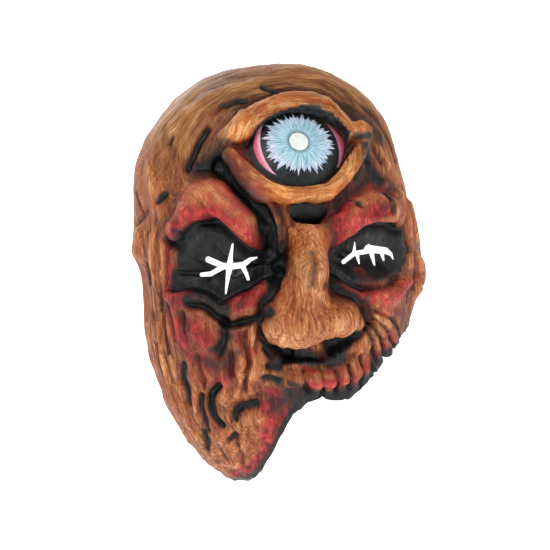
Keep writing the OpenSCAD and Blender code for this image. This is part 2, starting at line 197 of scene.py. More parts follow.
# radius, height, power and points of the finer sculpting
DETAIL = [
    # upper lid with its blunt left end, lower lid, and the creases round them
    (3.6, 4.6, 4, [(-34, 47.5), (-28, 52.5), (-19, 57.5), (-8, 60.5), (4, 60.5), (17, 58), (25, 52.5), (30, 47)]),
    (2.2, 2.0, 2, [(31, 46), (36, 41), (41, 35), (46, 28)]),
    (2.6, 2.6, 4, [(-38, 45.5), (-34, 50), (-28, 54)]),
    (3.2, 4.4, 4, [(-35, 43), (-30, 39.5), (-24, 35), (-14, 31), (-2, 29.5), (8, 30), (18, 33), (27, 38), (34, 43), (36, 48)]),
    (1.4, -2.2, 2, [(-38, 45), (-33, 45), (-29, 47), (-26, 49)]),
    (1.6, -2.6, 2, [(28, 47), (34, 43), (39, 38)]),
    (1.7, -2.2, 2, [(-40, 51), (-31, 58), (-20, 64), (-6, 67), (10, 66), (25, 61), (36, 53), (44, 44), (48, 36)]),
    (0.9, -0.9, 2, [(-32, 49), (-22, 56), (-8, 61), (6, 61), (20, 58), (31, 50)]),
    (0.9, -0.8, 2, [(-28, 38), (-20, 32), (-8, 28), (6, 28), (18, 32), (27, 37)]),
    # cup-shaped hollow under the third eye
    (3.4, -4.4, 2, [(-6, 25), (1, 24), (8, 24)]), (3.2, -4.0, 2, [(-3, 22), (5, 21)]), (1.6, 1.8, 2, [(-9, 24), (-5, 19), (1, 16.5), (7, 19), (10, 23)]),
    # left brow: knob, overhanging edge, and the sunken lid below it
    (5.4, 4.6, 2, [(-59, 18), (-57, 16)]), (1.8, -2.6, 2, [(-54, 16)]),
    (8.0, 4.0, 2, [(-51, 24), (-44, 30), (-36, 30), (-28, 22)]),
    (3.2, 3.0, 2, [(-51, 23), (-45, 25), (-39, 24), (-31, 17), (-24, 13)]),
    (2.4, -4.4, 2, [(-63, 13), (-58, 11.5), (-53, 15), (-48, 19.5), (-43, 20.5), (-38, 18.5), (-30, 11), (-22, 8)]),
    (6.0, 4.4, 2, [(-50, 6), (-42, 9), (-33, 8), (-26, 5)]), (4.0, 2.6, 2, [(-46, -2), (-37, -4), (-30, -1)]),
    (1.3, -1.6, 2, [(-60, 2), (-51, 1), (-44, 3), (-34, 2), (-22, 3)]), (1.2, -1.4, 2, [(-45, 12), (-40, 6), (-40, 0)]),
    (2.4, -3.2, 2, [(-62, -5), (-55, -5), (-47, -7), (-41, -10.5), (-36, -8), (-27, -4), (-17, -1)]),
    # broad groove beside the third eye, with the ridge that runs down in it
    (4.2, -4.2, 2, [(-41, 42), (-36, 38), (-32, 33), (-27, 28), (-22, 23), (-20, 15), (-18, 7)]),
    (1.3, 2.4, 2, [(-25, 32), (-19, 29), (-15, 22), (-14, 13), (-15, 5), (-19, 0)]),
    (1.0, -1.4, 2, [(-16, 28), (-12, 20), (-12, 10)]),
    (2.4, -1.6, 2, [(-42, 42), (-50, 40)]), (1.9, -2.8, 2, [(-48, 52), (-52, 46), (-55, 39)]),
    (5.0, 2.6, 2, [(-31, 38), (-24, 33)]),
    # folds under the left eye and the Y-shaped crease
    (3.2, 3.4, 2, [(-64, -7), (-56, -6), (-49, -8), (-43, -12)]), (5.0, 4.4, 2, [(-36, -14), (-29, -12), (-21, -8)]),
    (2.1, -3.2, 2, [(-54, -10), (-49, -11.5), (-45, -14.5), (-41, -18.5), (-33, -20), (-26, -18)]),
    (1.0, 1.6, 2, [(-50, -13.5), (-45, -17), (-41, -21), (-33, -22.5)]),
    (2.2, -3.0, 2, [(-41, -18), (-42, -24), (-45, -30)]), (5.5, 3.4, 2, [(-53, -19), (-49, -24)]),
    (2.0, 2.0, 2, [(-61, -13), (-60, -20), (-56, -28)]), (1.4, -1.6, 2, [(-57, -13), (-57, -20)]),
    (1.3, -1.4, 2, [(-64, 14), (-66, 4), (-66, -10), (-64, -24)]),
    # gouges of the left cheek
    (1.8, -3.4, 2, [(-63, -33), (-66, -37), (-65, -41), (-66, -45)]), (2.1, -3.6, 2, [(-49, -41), (-54, -44), (-55, -49), (-53, -53)]),
    (1.4, -2.8, 2, [(-58, -43), (-60, -47), (-61, -54)]), (1.9, -3.0, 2, [(-64, -54), (-66, -57), (-69, -60)]),
    (2.2, -3.2, 2, [(-45, -52), (-43, -50), (-38, -49.5), (-34, -49)]), (1.7, -2.4, 2, [(-53, -58), (-48, -57)]),
    (1.4, -2.4, 2, [(-26, -31), (-23, -35)]), (2.0, -2.8, 2, [(-25, -37), (-20, -38)]), (2.1, -2.8, 2, [(-27, -41), (-21, -43)]),
    (1.1, -2.0, 2, [(-69, -13), (-70, -20), (-70, -29)]), (1.2, -1.8, 2, [(-80, -14), (-78, -18)]),
    # bark-like ridges of the left cheek
    (2.2, 2.0, 2, [(-58, -30), (-60, -38), (-64, -50)]), (2.0, 1.8, 2, [(-52, -32), (-52, -38)]),
    (2.4, 2.0, 2, [(-44, -30), (-46, -38), (-48, -46)]), (2.0, 1.7, 2, [(-37, -27), (-38, -36), (-41, -46)]),
    (2.0, 1.8, 2, [(-30, -26), (-31, -36), (-35, -45)]), (1.8, 1.6, 2, [(-74, -18), (-75, -32), (-76, -46)]),
    (1.3, -1.8, 2, [(-40, -27), (-42, -38)]), (1.3, -1.8, 2, [(-33, -23), (-34, -36), (-38, -44)]),
    (1.3, -1.6, 2, [(-54, -30), (-56, -40)]), (1.2, -1.5, 2, [(-27, -24), (-29, -30)]), (1.8, 1.6, 2, [(-70, -40), (-72, -50), (-70, -58)]),
    (1.2, -1.4, 2, [(-78, -26), (-79, -40)]), (1.2, -1.4, 2, [(-48, -58), (-50, -66)]), (1.2, -1.3, 2, [(-60, -60), (-62, -68)]),
    # nose: wings, flat underside, folds round it and nostrils
    (7.0, 3.0, 2, [(9, -21), (13, -24)]), (6.0, 4.0, 2, [(-22, -21), (-21, -25)]), (4.6, 3.6, 2, [(-15, -26), (-3, -27.5), (9, -27)]),
    (7.0, -3.5, 2, [(12, 2), (11, -10)]), (3.0, 1.6, 2, [(-8, 6), (-10, -10)]),
    (1.9, -3.8, 2, [(-17, -3), (-19, -9), (-25, -13), (-27, -20), (-26, -27), (-20, -33), (-13, -35)]),
    (1.9, -3.0, 2, [(14, -4), (12, -12), (18, -16), (24, -21), (25, -27), (22, -32)]),
    (3.6, -5.5, 2, [(8, -36), (17, -33)]), (3.0, -5.0, 2, [(-16, -36), (-6, -37), (2, -38)]),
    (2.2, -2.4, 2, [(-3, 4), (-5, -4)]), (1.3, -1.4, 2, [(3, 2), (0, -8)]),
    # upper lip, its puckers and the torn edge
    (3.8, 3.4, 2, [(-20, -45), (-8, -45), (3, -47), (14, -46), (25, -44)]),
    (1.4, -2.6, 2, [(-9, -42), (-6, -50)]), (1.3, -2.8, 2, [(1, -43), (2, -52)]), (1.4, -3.0, 2, [(9, -43), (11, -51)]),
    (1.3, -2.8, 2, [(16, -42), (18, -50)]), (1.3, -2.6, 2, [(23, -40), (26, -49)]), (1.2, -2.2, 2, [(30, -37), (34, -46)]),
    (2.6, -2.4, 2, [(-15, -40), (-5, -41), (8, -41), (19, -39)]),
    # wrinkles that fan over the right cheek
    (1.1, -2.6, 2, [(24, -29), (30, -36), (35, -42)]), (1.1, -2.6, 2, [(26, -27), (36, -35), (42, -42)]),
    (1.1, -2.4, 2, [(28, -25), (42, -33), (50, -40)]), (1.1, -2.2, 2, [(29, -22), (46, -29), (58, -37)]),
    (1.7, 1.8, 2, [(26, -30), (33, -38)]), (1.7, 1.8, 2, [(28, -28), (40, -36)]), (1.7, 1.6, 2, [(30, -25), (46, -34)]),
    # right socket and brow
    (6.0, 3.6, 2, [(18, 18), (27, 24), (35, 24), (42, 19)]), (2.4, 2.4, 2, [(15, 9), (20, 14), (30, 16), (42, 14)]),
    (2.2, -4.0, 2, [(17, 7), (22, 11), (30, 13), (40, 11.5), (50, 9)]), (5.0, 3.4, 2, [(24, 4), (33, 6), (43, 3)]),
    (1.6, -2.6, 2, [(16, -4), (19, -11), (28, -13), (38, -12), (48, -10)]), (3.6, 3.4, 2, [(32, -17), (44, -16), (54, -13)]),
    (3.4, 3.0, 2, [(15, -12), (20, -16), (27, -17)]), (2.0, -2.6, 2, [(24, 22)]), (1.4, -2.0, 2, [(42, 24), (39, 17)]),
    (1.2, -1.4, 2, [(22, 5), (32, 2), (44, 1)]), (1.6, -2.0, 2, [(17, 28), (14, 22)]), (1.2, -1.4, 2, [(22, 29), (22, 25)]),
    # folds down the right side
    (2.2, 2.6, 2, [(50, 24), (50, 12), (54, 0)]), (1.5, -2.8, 2, [(53, 24), (53, 12), (57, 0)]),
    (2.4, 2.6, 2, [(57, 22), (60, 8), (58, -6)]), (1.6, -2.8, 2, [(62, 24), (66, 10), (63, -4)]),
    (2.8, 2.6, 2, [(70, 16), (72, 2)]), (4.6, 4.0, 2, [(70, -6), (73, -12), (66, -17)]),
    (1.4, -2.0, 2, [(64, -9), (60, -16)]), (1.2, -2.0, 2, [(54, -16), (56, -21)]),
    (3.0, -2.6, 2, [(35, 40), (41, 35), (45, 30)]), (1.8, 1.8, 2, [(36, 46), (46, 42), (52, 34)]), (1.6, -1.8, 2, [(26, 33), (31, 37)]),
    (1.5, -1.8, 2, [(50, 54), (58, 44), (62, 34)]),
    # crown: dents and small slashes
    (1.6, -1.8, 2, [(-14, 70), (-3, 68), (7, 66)]), (1.4, -1.8, 2, [(-44, 60), (-34, 63), (-28, 64)]),
    (1.3, -1.6, 2, [(-32, 58), (-20, 62)]), (1.2, -1.6, 2, [(-67, 46), (-65, 48)]), (1.6, -1.8, 2, [(-68, 27), (-64, 30)]),
    (1.4, -1.4, 2, [(-84, 30), (-80, 24)]), (2.4, -1.8, 2, [(16, 64), (26, 61)]),
    (3.0, 1.4, 2, [(-60, 56), (-44, 66), (-20, 72)]), (3.0, -1.2, 2, [(-72, 50), (-58, 40)]), (3.4, 1.4, 2, [(-74, 38), (-66, 22)]),
    # left rim
    (6.0, 3.2, 2, [(-82, 15), (-86, 8)]), (2.4, -2.2, 2, [(-76, 24), (-84, 20)]), (1.6, -2.2, 2, [(-80, 4), (-82, -4)]),
    (1.4, -1.8, 2, [(-72, -7), (-72, -13)]), (2.2, 1.6, 2, [(-72, 14), (-74, 2), (-73, -12)]),
]
# strength, radius, power and points of the paint strokes
BLACK = [
    # left socket, filled from the brow to the folds below
    (1.3, 5.0, 4, [(-56, 9), (-52, 14), (-46, 16), (-40, 15), (-33, 10), (-25, 8)]), (1.3, 6.0, 4, [(-57, 6), (-44, 8), (-30, 6), (-20, 6)]),
    (1.3, 6.0, 4, [(-59, 0), (-44, 0), (-28, 1), (-18, 2)]), (1.3, 3.6, 4, [(-61, -4), (-52, -3), (-45, -6), (-40, -8), (-33, -5), (-22, -2)]),
    (1.2, 2.2, 2, [(-63, 13), (-58, 11.5), (-53, 15), (-48, 19.5), (-43, 20.5), (-38, 18.5)]), (1.1, 2.6, 2, [(-36, 14), (-28, 9), (-21, 8)]),
    (1.1, 1.6, 2, [(-55, 17), (-53, 15)]),
    # groove
    (1.25, 4.6, 2, [(-42, 43), (-36, 38), (-32, 33), (-27, 28), (-22, 23), (-20, 15), (-18, 7), (-17, 0)]),
    (0.75, 4.0, 2, [(-22, 29), (-17, 22), (-15, 12), (-14, 2)]), (1.1, 3.0, 2, [(-37, 44), (-44, 42), (-50, 40)]),
    (1.2, 1.9, 2, [(-48, 52), (-52, 46), (-55, 39)]), (0.6, 5.0, 2, [(-46, 44), (-40, 46)]), (0.7, 2.6, 2, [(-35, 42), (-28, 36), (-22, 31)]), (0.55, 3.0, 2, [(-48, 17), (-38, 15)]), (0.5, 5.0, 2, [(-52, 38), (-46, 38)]),
    (0.9, 1.0, 2, [(-40, 46), (-34, 45.5), (-29, 47)]),
    # Y-shaped crease and the shadow round the nose
    (1.15, 2.2, 2, [(-55, -9), (-49, -11.5), (-45, -14.5), (-41, -18.5), (-33, -20), (-25, -18), (-21, -15)]), (0.8, 4.4, 2, [(-50, -7), (-44, -11), (-40, -14)]),
    (1.05, 3.0, 2, [(-41, -16), (-41, -22), (-44, -29)]), (0.7, 3.4, 2, [(-57, -13), (-55, -18)]), (0.8, 3.0, 2, [(-47, -27), (-40, -25)]),
    (0.65, 4.0, 2, [(-52, -32), (-46, -34), (-38, -30)]), (0.5, 3.4, 2, [(-57, -20), (-55, -27)]), (0.45, 4.0, 2, [(-62, -30), (-60, -36)]), (1.0, 2.0, 2, [(-20, -5), (-20, -10), (-25, -13), (-26, -20), (-25, -27), (-19, -33), (-13, -35)]),
    (0.9, 2.6, 2, [(-17, 1), (-18, -6)]), (1.0, 2.2, 2, [(14, -3), (12, -10), (15, -15), (20, -18)]), (0.9, 1.4, 2, [(24, -21), (25, -27), (22, -32)]),
    (1.3, 3.0, 4, [(-18, -36), (-10, -37), (-3, -38)]), (0.9, 3.4, 2, [(-3, -39), (6, -40), (12, -39)]), (1.3, 3.6, 4, [(8, -37), (14, -35), (19, -32)]),
    (0.75, 2.2, 2, [(-4, 6), (-5, 0), (-6, -5)]), (0.5, 1.6, 2, [(3, 2), (0, -8)]),
    # cup-shaped hollow and the streaks beside it
    (1.2, 3.2, 4, [(-6, 25), (1, 24), (8, 24)]), (1.2, 3.2, 4, [(-3, 22), (4, 21)]), (1.0, 1.4, 2, [(1, 18.5), (5, 19)]),
    (0.7, 1.6, 2, [(17, 27), (14, 22)]), (0.5, 1.8, 2, [(22, 29), (22, 25)]), (0.6, 2.4, 2, [(10, 18), (11, 8)]), (0.6, 3.2, 2, [(17, 25), (20, 30)]), (0.7, 2.8, 2, [(49, 28), (51, 16)]),
    # right socket
    (1.3, 5.0, 4, [(23, 7), (32, 9), (42, 8), (50, 6)]), (1.3, 6.0, 4, [(20, 0), (32, 1), (44, 0), (51, -2)]),
    (1.2, 4.6, 4, [(17, -5), (21, -8)]), (1.1, 4.0, 4, [(34, -7), (42, -7), (49, -6)]), (0.6, 4.0, 2, [(24, -9), (32, -10)]),
    (1.0, 2.2, 2, [(17, -4), (18, -11), (24, -13)]), (1.0, 2.4, 2, [(24, 22)]), (1.0, 1.7, 2, [(43, 24), (40, 17)]),
    (0.9, 1.8, 2, [(53, 26), (53, 12), (57, 0)]), (0.9, 1.9, 2, [(62, 24), (66, 10), (63, -4)]), (0.8, 1.5, 2, [(64, -9), (60, -16)]),
    (0.9, 1.4, 2, [(54, -16), (56, -21)]),
    # right of the third eye and on the crown
    (1.0, 3.8, 2, [(34, 41), (39, 36), (44, 30)]), (1.0, 1.5, 2, [(30, 46), (36, 43), (41, 38)]), (0.9, 3.4, 2, [(26, 33), (32, 38)]), (0.7, 3.0, 2, [(28, 29), (38, 32)]),
    (0.65, 5.0, 2, [(38, 56), (48, 48), (52, 42)]), (0.8, 3.0, 2, [(15, 65), (24, 62), (32, 58)]), (0.7, 2.6, 2, [(50, 54), (58, 44), (62, 34)]),
    (1.1, 1.7, 2, [(-14, 70), (-3, 68), (7, 66)]), (1.2, 1.3, 2, [(-44, 60), (-34, 63), (-28, 64)]), (1.0, 1.2, 2, [(-32, 58), (-20, 62)]),
    (0.45, 5.0, 2, [(-34, 60), (-22, 64)]), (0.9, 1.3, 2, [(-67, 46), (-65, 48)]), (1.1, 1.8, 2, [(-68, 27), (-64, 30)]),
    (0.8, 1.8, 2, [(-84, 30), (-80, 24)]), (1.0, 1.7, 2, [(-80, 4), (-82, -4)]), (0.9, 1.6, 2, [(-72, -7), (-72, -13)]),
    # gouges of the cheeks
    (1.3, 1.9, 2, [(-63, -33), (-66, -37), (-65, -41), (-66, -45)]), (1.3, 2.3, 4, [(-49, -41), (-54, -44), (-55, -49), (-53, -53)]),
    (1.2, 1.5, 2, [(-58, -43), (-60, -47), (-61, -54)]), (1.3, 2.0, 2, [(-64, -54), (-66, -57), (-69, -60)]),
    (1.2, 2.4, 4, [(-45, -52), (-43, -50), (-38, -49.5), (-34, -49)]), (1.1, 1.9, 2, [(-53, -58), (-48, -57)]),
    (1.1, 1.6, 2, [(-26, -31), (-23, -35)]), (1.2, 2.4, 2, [(-25, -37), (-20, -38)]), (1.2, 2.6, 2, [(-27, -41), (-21, -43)]),
    (1.0, 1.3, 2, [(-69, -13), (-70, -20), (-70, -29)]), (0.9, 1.4, 2, [(-80, -14), (-78, -18)]), (0.6, 1.8, 2, [(-34, -26), (-33, -31)]),
    (0.5, 1.6, 2, [(-41, -30), (-43, -38)]), (0.5, 1.5, 2, [(-30, -36), (-33, -44)]), (0.5, 1.5, 2, [(-76, -34), (-77, -46)]),
    (0.8, 1.2, 2, [(24, -29), (30, -36), (35, -42)]), (0.8, 1.2, 2, [(26, -27), (36, -35), (42, -42)]), (0.7, 1.1, 2, [(28, -25), (42, -33), (50, -40)]),
    # torn edge, lip and muzzle
    (0.62, 4.0, 2, [(-25, -53), (-19, -51), (-11, -49)]),
    (1.2, 2.8, 2, [(-12, -52), (-4, -53), (7, -54), (16, -53), (26, -51)]), (0.9, 2.6, 2, [(-16, -44), (-8, -46)]),
    (0.8, 3.0, 2, [(-22, -44), (-16, -48)]), (0.8, 1.3, 2, [(9, -43), (11, -51)]), (0.8, 1.3, 2, [(16, -42), (18, -50)]), (0.7, 1.2, 2, [(23, -40), (26, -49)]),
    (1.0, 2.4, 2, [(28, -49), (36, -46), (44, -43)]),
]
RED = [
    (1.0, 5.5, 2, [(-60, 19), (-57, 15), (-52, 20)]), (1.0, 5.0, 2, [(-50, 23), (-44, 24), (-38, 23), (-30, 17), (-23, 12)]),
    (0.55, 6.0, 2, [(-54, 28), (-46, 33), (-38, 32), (-30, 24)]), (0.9, 3.6, 2, [(-40, 18), (-34, 14), (-28, 12)]), (0.9, 3.4, 2, [(-38, 38), (-34, 30), (-28, 24)]),
    (0.9, 4.4, 2, [(-34, 41), (-29, 36), (-23, 32)]), (0.6, 3.0, 2, [(-18, 29), (-12, 24)]), (0.6, 3.0, 2, [(-14, 12), (-14, 2), (-17, -5)]),
    (1.0, 3.2, 2, [(-64, 12), (-65, 2), (-65, -8)]), (1.1, 4.6, 2, [(-64, -8), (-56, -8), (-49, -9), (-43, -12)]),
    (1.1, 5.0, 2, [(-37, -12), (-29, -10), (-20, -6)]), (0.95, 6.0, 2, [(-64, -12), (-62, -20), (-58, -28)]), (1.0, 6.0, 2, [(-54, -18), (-49, -24)]),
    (0.7, 7.0, 2, [(-62, -24), (-54, -32), (-44, -34)]), (0.55, 7.0, 2, [(-58, -36), (-48, -40), (-40, -34)]), (0.6, 5.0, 2, [(-38, -24), (-32, -30)]),
    (0.5, 5.0, 2, [(-62, -44), (-56, -56)]), (0.45, 5.0, 2, [(-30, -34), (-30, -42)]),
    (1.0, 5.0, 2, [(14, 4), (13, 13), (16, 21)]), (1.0, 4.6, 2, [(20, 15), (28, 17), (37, 19)]), (0.9, 4.0, 2, [(18, 22), (20, 30)]),
    (0.85, 4.0, 2, [(26, 27), (36, 28), (44, 24)]), (0.8, 4.0, 2, [(46, 26), (46, 14), (50, 0)]), (1.0, 4.6, 2, [(14, -11), (20, -16), (28, -16)]),
    (1.0, 3.4, 2, [(26, -8), (31, -9)]), (0.8, 6.0, 2, [(34, -16), (46, -16), (56, -14)]), (0.6, 6.0, 2, [(34, -22), (46, -24), (56, -26)]),
    (0.7, 5.0, 2, [(40, -32), (52, -36)]), (0.9, 2.2, 2, [(32, -38), (40, -42)]), (0.9, 2.2, 2, [(38, -36), (48, -40)]),
    (1.0, 4.0, 2, [(-26, -47), (-14, -47), (-4, -46)]), (1.1, 4.4, 2, [(3, -47), (12, -47), (22, -46), (31, -43), (40, -41)]),
    (0.7, 2.0, 2, [(-10, -40), (0, -43), (12, -43)]), (1.2, 3.4, 2, [(-40, -72), (-34, -66), (-30, -59), (-27, -54)]),
    (1.15, 4.8, 2, [(-29, -51), (-22, -50), (-12, -48)]), (0.6, 3.0, 2, [(58, 20), (60, 6)]), (0.6, 4.0, 2, [(64, -2), (66, -14)]),
]


# ---------------------------------------------------------------- shape of the skin
HALF_WIDTH, SHELL_DEPTH, CROWN_HEIGHT, CHIN_DROP, SHELL_POWER = 78.0, 62.0, 105.0, 128.0, 2.3
GRID_TURN = math.radians(-12)
EYE_MIDDLE, EYE_TILT = np.array([1.0, -55.0, 62.0]), math.radians(25)
EYE_RIGHT = np.array([1.0, 0.0, 0.0])
EYE_UP = np.array([0.0, math.sin(EYE_TILT), math.cos(EYE_TILT)])
EYE_OUT = np.array([0.0, -math.cos(EYE_TILT), math.sin(EYE_TILT)])
EYE_RADIUS, EYE_RIM_RADIUS, EYE_POLE = 50.0, 32.5, 1.0
EYE_CENTRE = EYE_MIDDLE + (EYE_POLE - EYE_RADIUS) * EYE_OUT


def toward(lon, lat):
    lon, lat = np.radians(lon), np.radians(lat)
    return np.stack([np.sin(lon) * np.cos(lat), -np.cos(lon) * np.cos(lat), np.sin(lat)], -1)


def shell_radius(d):
    drop = np.where(d[..., 2] > 0, CROWN_HEIGHT, CHIN_DROP)
    sides = np.stack([HALF_WIDTH + 0 * drop, SHELL_DEPTH + 0 * drop, drop], -1)
    return (np.abs(d / sides) ** SHELL_POWER).sum(-1) ** (-1 / SHELL_POWER)


def on_shell(d):
    return shell_radius(d)[..., None] * d


def rim_back(clock):
    flat = np.degrees(np.arctan2(math.cos(GRID_TURN), math.sin(GRID_TURN) * np.cos(np.radians(clock))))
    clocks, backs = np.array(TORN_EDGE).T
    torn = np.where((clock < clocks[0]) | (clock > clocks[-1]), 180, np.interp(clock, clocks, backs))
    return np.minimum(flat, torn)


def turned(v, angle):
    c, s = math.cos(angle), math.sin(angle)
    return np.stack([v[..., 0] * c - v[..., 1] * s, v[..., 0] * s + v[..., 1] * c, v[..., 2]], -1)


def spread(cells):
    """Directions of a square grid laid over the face, out to its rim, and how near the rim each is."""
    u, v = np.meshgrid(np.linspace(-1, 1, cells + 1), np.linspace(-1, 1, cells + 1), indexing="ij")
    wide = np.abs(u) >= np.abs(v)
    reach = np.maximum(np.abs(u), np.abs(v))
    safe_u, safe_v = np.where(u == 0, 1, u), np.where(v == 0, 1, v)
    clock = np.where(wide, np.where(u >= 0, 0, 180) + 45 * v / safe_u, np.where(v > 0, 90, 270) - 45 * u / safe_v) % 360
    back = np.radians(rim_back(clock) * reach)
    turn = np.radians(clock)
    flat = np.stack([np.sin(back) * np.cos(turn), -np.cos(back), np.sin(back) * np.sin(turn)], -1)
    return turned(flat, GRID_TURN), reach, clock


def rise(value, low, high):
    t = np.clip((value - low) / (high - low), 0, 1)
    return t * t * (3 - 2 * t)


def scattered(cell, seed):
    """A steady pseudo-random number from 0 to 1 for each whole-numbered cell."""
    n = cell[..., 0] * 374761393 + cell[..., 1] * 668265263 + cell[..., 2] * 2147483647 + seed * 974711
    n = (n ^ (n >> 13)) * 1274126177 & 0x7FFFFFFF
    return ((n ^ (n >> 16)) & 0xFFFF) / 65535.0


def value_noise(p, seed):
    cell = np.floor(p).astype(np.int64)
    f = p - cell
    f = f * f * (3 - 2 * f)
    total = 0
    for corner in np.ndindex(2, 2, 2):
        share = np.prod(np.where(np.array(corner) == 1, f, 1 - f), -1)
        total = total + share * scattered(cell + np.array(corner), seed)
    return total


def layered(p, octaves, seed):
    """Value noise of several octaves, about -1 to 1."""
    total, weight = 0, 0
    for k in range(octaves):
        size = 0.5 ** k
        total = total + (value_noise(p / size, seed + 17 * k) * 2 - 1) * size
        weight += size
    return total / weight


def blurred(a, sigma):
    taps = np.arange(-int(3 * sigma), int(3 * sigma) + 1)
    weights = np.exp(-(taps / sigma) ** 2 / 2)
    weights /= weights.sum()
    for axis in (0, 1):
        pad = [(len(taps) // 2,) * 2 if k == axis else (0, 0) for k in range(2)]
        wide = np.pad(a, pad, mode="edge")
        count = a.shape[axis]
        a = sum(w * np.take(wide, np.arange(count) + k, axis) for k, w in enumerate(weights))
    return a


def lowest_near(surface, directions, reach):
    """Lowest height of a surface over the plain shell, near each direction."""
    flat = surface.reshape(-1, 3)
    radius = np.linalg.norm(flat, axis=1)
    ways = flat / radius[:, None]
    height = radius - shell_radius(ways)
    tree = kdtree.KDTree(len(ways))
    for k, way in enumerate(ways):
        tree.insert(way, k)
    tree.balance()
    lowest = [min((height[k] for _, k, _ in tree.find_range(way, reach)), default=0) for way in directions.reshape(-1, 3)]
    return np.array(lowest).reshape(directions.shape[:2])


def curve_through(points, steps=6):
    """Catmull-Rom curve through points."""
    q = np.array(points, float)
    if len(q) < 3:
        return np.vstack([q, q]) if len(q) == 1 else q
    ends = np.vstack([2 * q[0] - q[1], q, 2 * q[-1] - q[-2]])
    out = []
    for a, b, c, d in zip(ends, ends[1:], ends[2:], ends[3:]):
        for t in np.arange(steps) / steps:
            out.append(0.5 * (2 * b + (c - a) * t + (2 * a - 5 * b + 4 * c - d) * t ** 2 + (3 * b - a - 3 * c + d) * t ** 3))
    return np.array(out + [q[-1]])


def line_distance(p, line):
    best = None
    for a, b in zip(line, line[1:]):
        run = b - a
        share = np.clip((p - a) @ run / max(run @ run, 1e-9), 0, 1)
        gap = ((p - a - share[..., None] * run) ** 2).sum(-1)
        best = gap if best is None else np.minimum(best, gap)
    return np.sqrt(best)


def touch(p, radius, points, power=2):
    """Strength from 0 to 1 of a soft round stroke along points of longitude and latitude."""
    line = curve_through(points)
    line = on_shell(toward(line[:, 0], line[:, 1]))
    near = ((p > line.min(0) - 3 * radius) & (p < line.max(0) + 3 * radius)).all(-1)
    out = np.zeros(p.shape[:-1])
    out[near] = np.exp(-(line_distance(p[near], line) / radius) ** power)
    return out


def relief(p, forms):
    """Sum of the forms' heights: each is [radius, height, points] or [radius, height, power, points]."""
    height = np.zeros(p.shape[:-1])
    for form in forms:
        height += form[1] * touch(p, form[0], form[-1], form[2] if len(form) == 4 else 2)
    return height


def painted(p, strokes):
    out = np.zeros(p.shape[:-1])
    for strength, radius, power, points in strokes:
        out = np.maximum(out, strength * touch(p, radius, points, power))
    return out


def surface_normals(p):
    along, across = np.gradient(p, axis=0), np.gradient(p, axis=1)
    n = np.cross(along, across)
    n /= np.linalg.norm(n, axis=-1, keepdims=True) + 1e-12
    return n * np.sign((n * p).sum(-1, keepdims=True))


def sculpted(d, reach, clock):
    """Outer surface of the skin over a grid of directions, with its height and the places of its paint."""
    shell = on_shell(d)
    shift = np.stack([layered(shell / 11, 2, seed) for seed in (1, 2, 3)], -1)
    loose = shell + 1.5 * shift
    coarse = relief(shell, FORMS)
    cheek = rise(shell[..., 2], 5, -30)
    grain = layered(shell / np.array([3.2, 3.2, 22]), 2, 9)
    fine = relief(loose, DETAIL) + 1.1 * layered(shell / 16, 3, 5) + (0.35 + 0.8 * cheek) * grain
    base = shell + coarse[..., None] * d
    lift = surface_normals(base)
    inward = rise(reach, 0.97, 0.9)[..., None]
    lift = lift * inward + d * (1 - inward)
    return base + fine[..., None] * lift, coarse + fine, loose, coarse


def eye_frame(p):
    q = p - EYE_MIDDLE
    return q @ EYE_RIGHT, q @ EYE_UP, q @ EYE_OUT


def shell_grid_faces(cells, start):
    i, j = np.meshgrid(np.arange(cells), np.arange(cells), indexing="ij")
    a = (i * (cells + 1) + j + start).ravel()
    row = cells + 1
    return np.stack([a, a + row, a + row + 1, a + 1], 1)


def rim_loop(cells, start):
    k = np.arange(cells)
    row = cells + 1
    return start + np.concatenate([k * row, cells * row + k, (cells - k) * row + cells, cells - k])


# ---------------------------------------------------------------- skin mesh
SKIN_CELLS, WALL, LIP = 272, 3.0, 1.3
SLIT_LEFT, SLIT_RIGHT = (-40, -46, 2), (38, -47, 1)
# Strokes of the cuts as the camera sees them: x, y, width at each end, in mm
CUTS = {
    SLIT_LEFT: [
        (2.1, 12.3, 1.0, 0.2, 1.0, 3.4), (0.2, 1.0, 3.4, -1.4, -13.0, 0.8), (-0.5, 0.6, 3.2, -4.0, 1.4, 3.0),
        (-4.0, 1.6, 3.0, -10.6, 4.4, 3.3), (-3.6, 0.4, 2.8, -9.4, -3.0, 2.5), (-9.4, -3.0, 2.5, -14.2, -3.4, 2.1),
        (0.2, 0.8, 3.2, 7.0, 1.5, 3.0), (7.0, 1.5, 3.0, 11.0, 4.4, 2.2), (11.0, 4.4, 2.2, 14.4, 5.5, 0.8),
        (6.8, 1.2, 2.6, 9.0, -2.8, 2.0), (9.0, -2.8, 2.0, 10.0, -5.6, 1.6)],
    SLIT_RIGHT: [
        (-13.6, -4.6, 2.2, -8.0, -0.2, 2.5), (-8.0, -0.2, 2.4, -7.8, 5.6, 0.7), (-8.0, -0.2, 2.5, -1.2, 1.0, 2.6),
        (-0.6, 2.2, 4.4, 3.0, 2.0, 4.0), (3.0, 2.0, 4.0, 9.4, 1.4, 3.4), (9.4, 1.4, 3.4, 12.2, -0.4, 2.0),
        (-0.4, 3.6, 2.4, 0.0, 4.6, 1.0), (12.2, -0.4, 1.8, 13.5, -3.0, 0.7), (-6.2, -0.8, 2.2, -5.2, -5.4, 0.8),
        (1.6, 0.6, 3.0, 3.2, -6.2, 1.0), (7.2, 0.6, 2.6, 8.3, -3.6, 1.0)],
}


def stroke_outline(x0, y0, w0, x1, y1, w1):
    """A tapered stroke with round ends, as a ring of points."""
    angle = math.atan2(y1 - y0, x1 - x0)
    ring = []
    for (x, y, w), start in (((x1, y1, w1), -90), ((x0, y0, w0), 90)):
        ring += [(x + w / 2 * math.cos(angle + math.radians(start + t)), y + w / 2 * math.sin(angle + math.radians(start + t)))
                 for t in range(0, 181, 20)]
    return ring


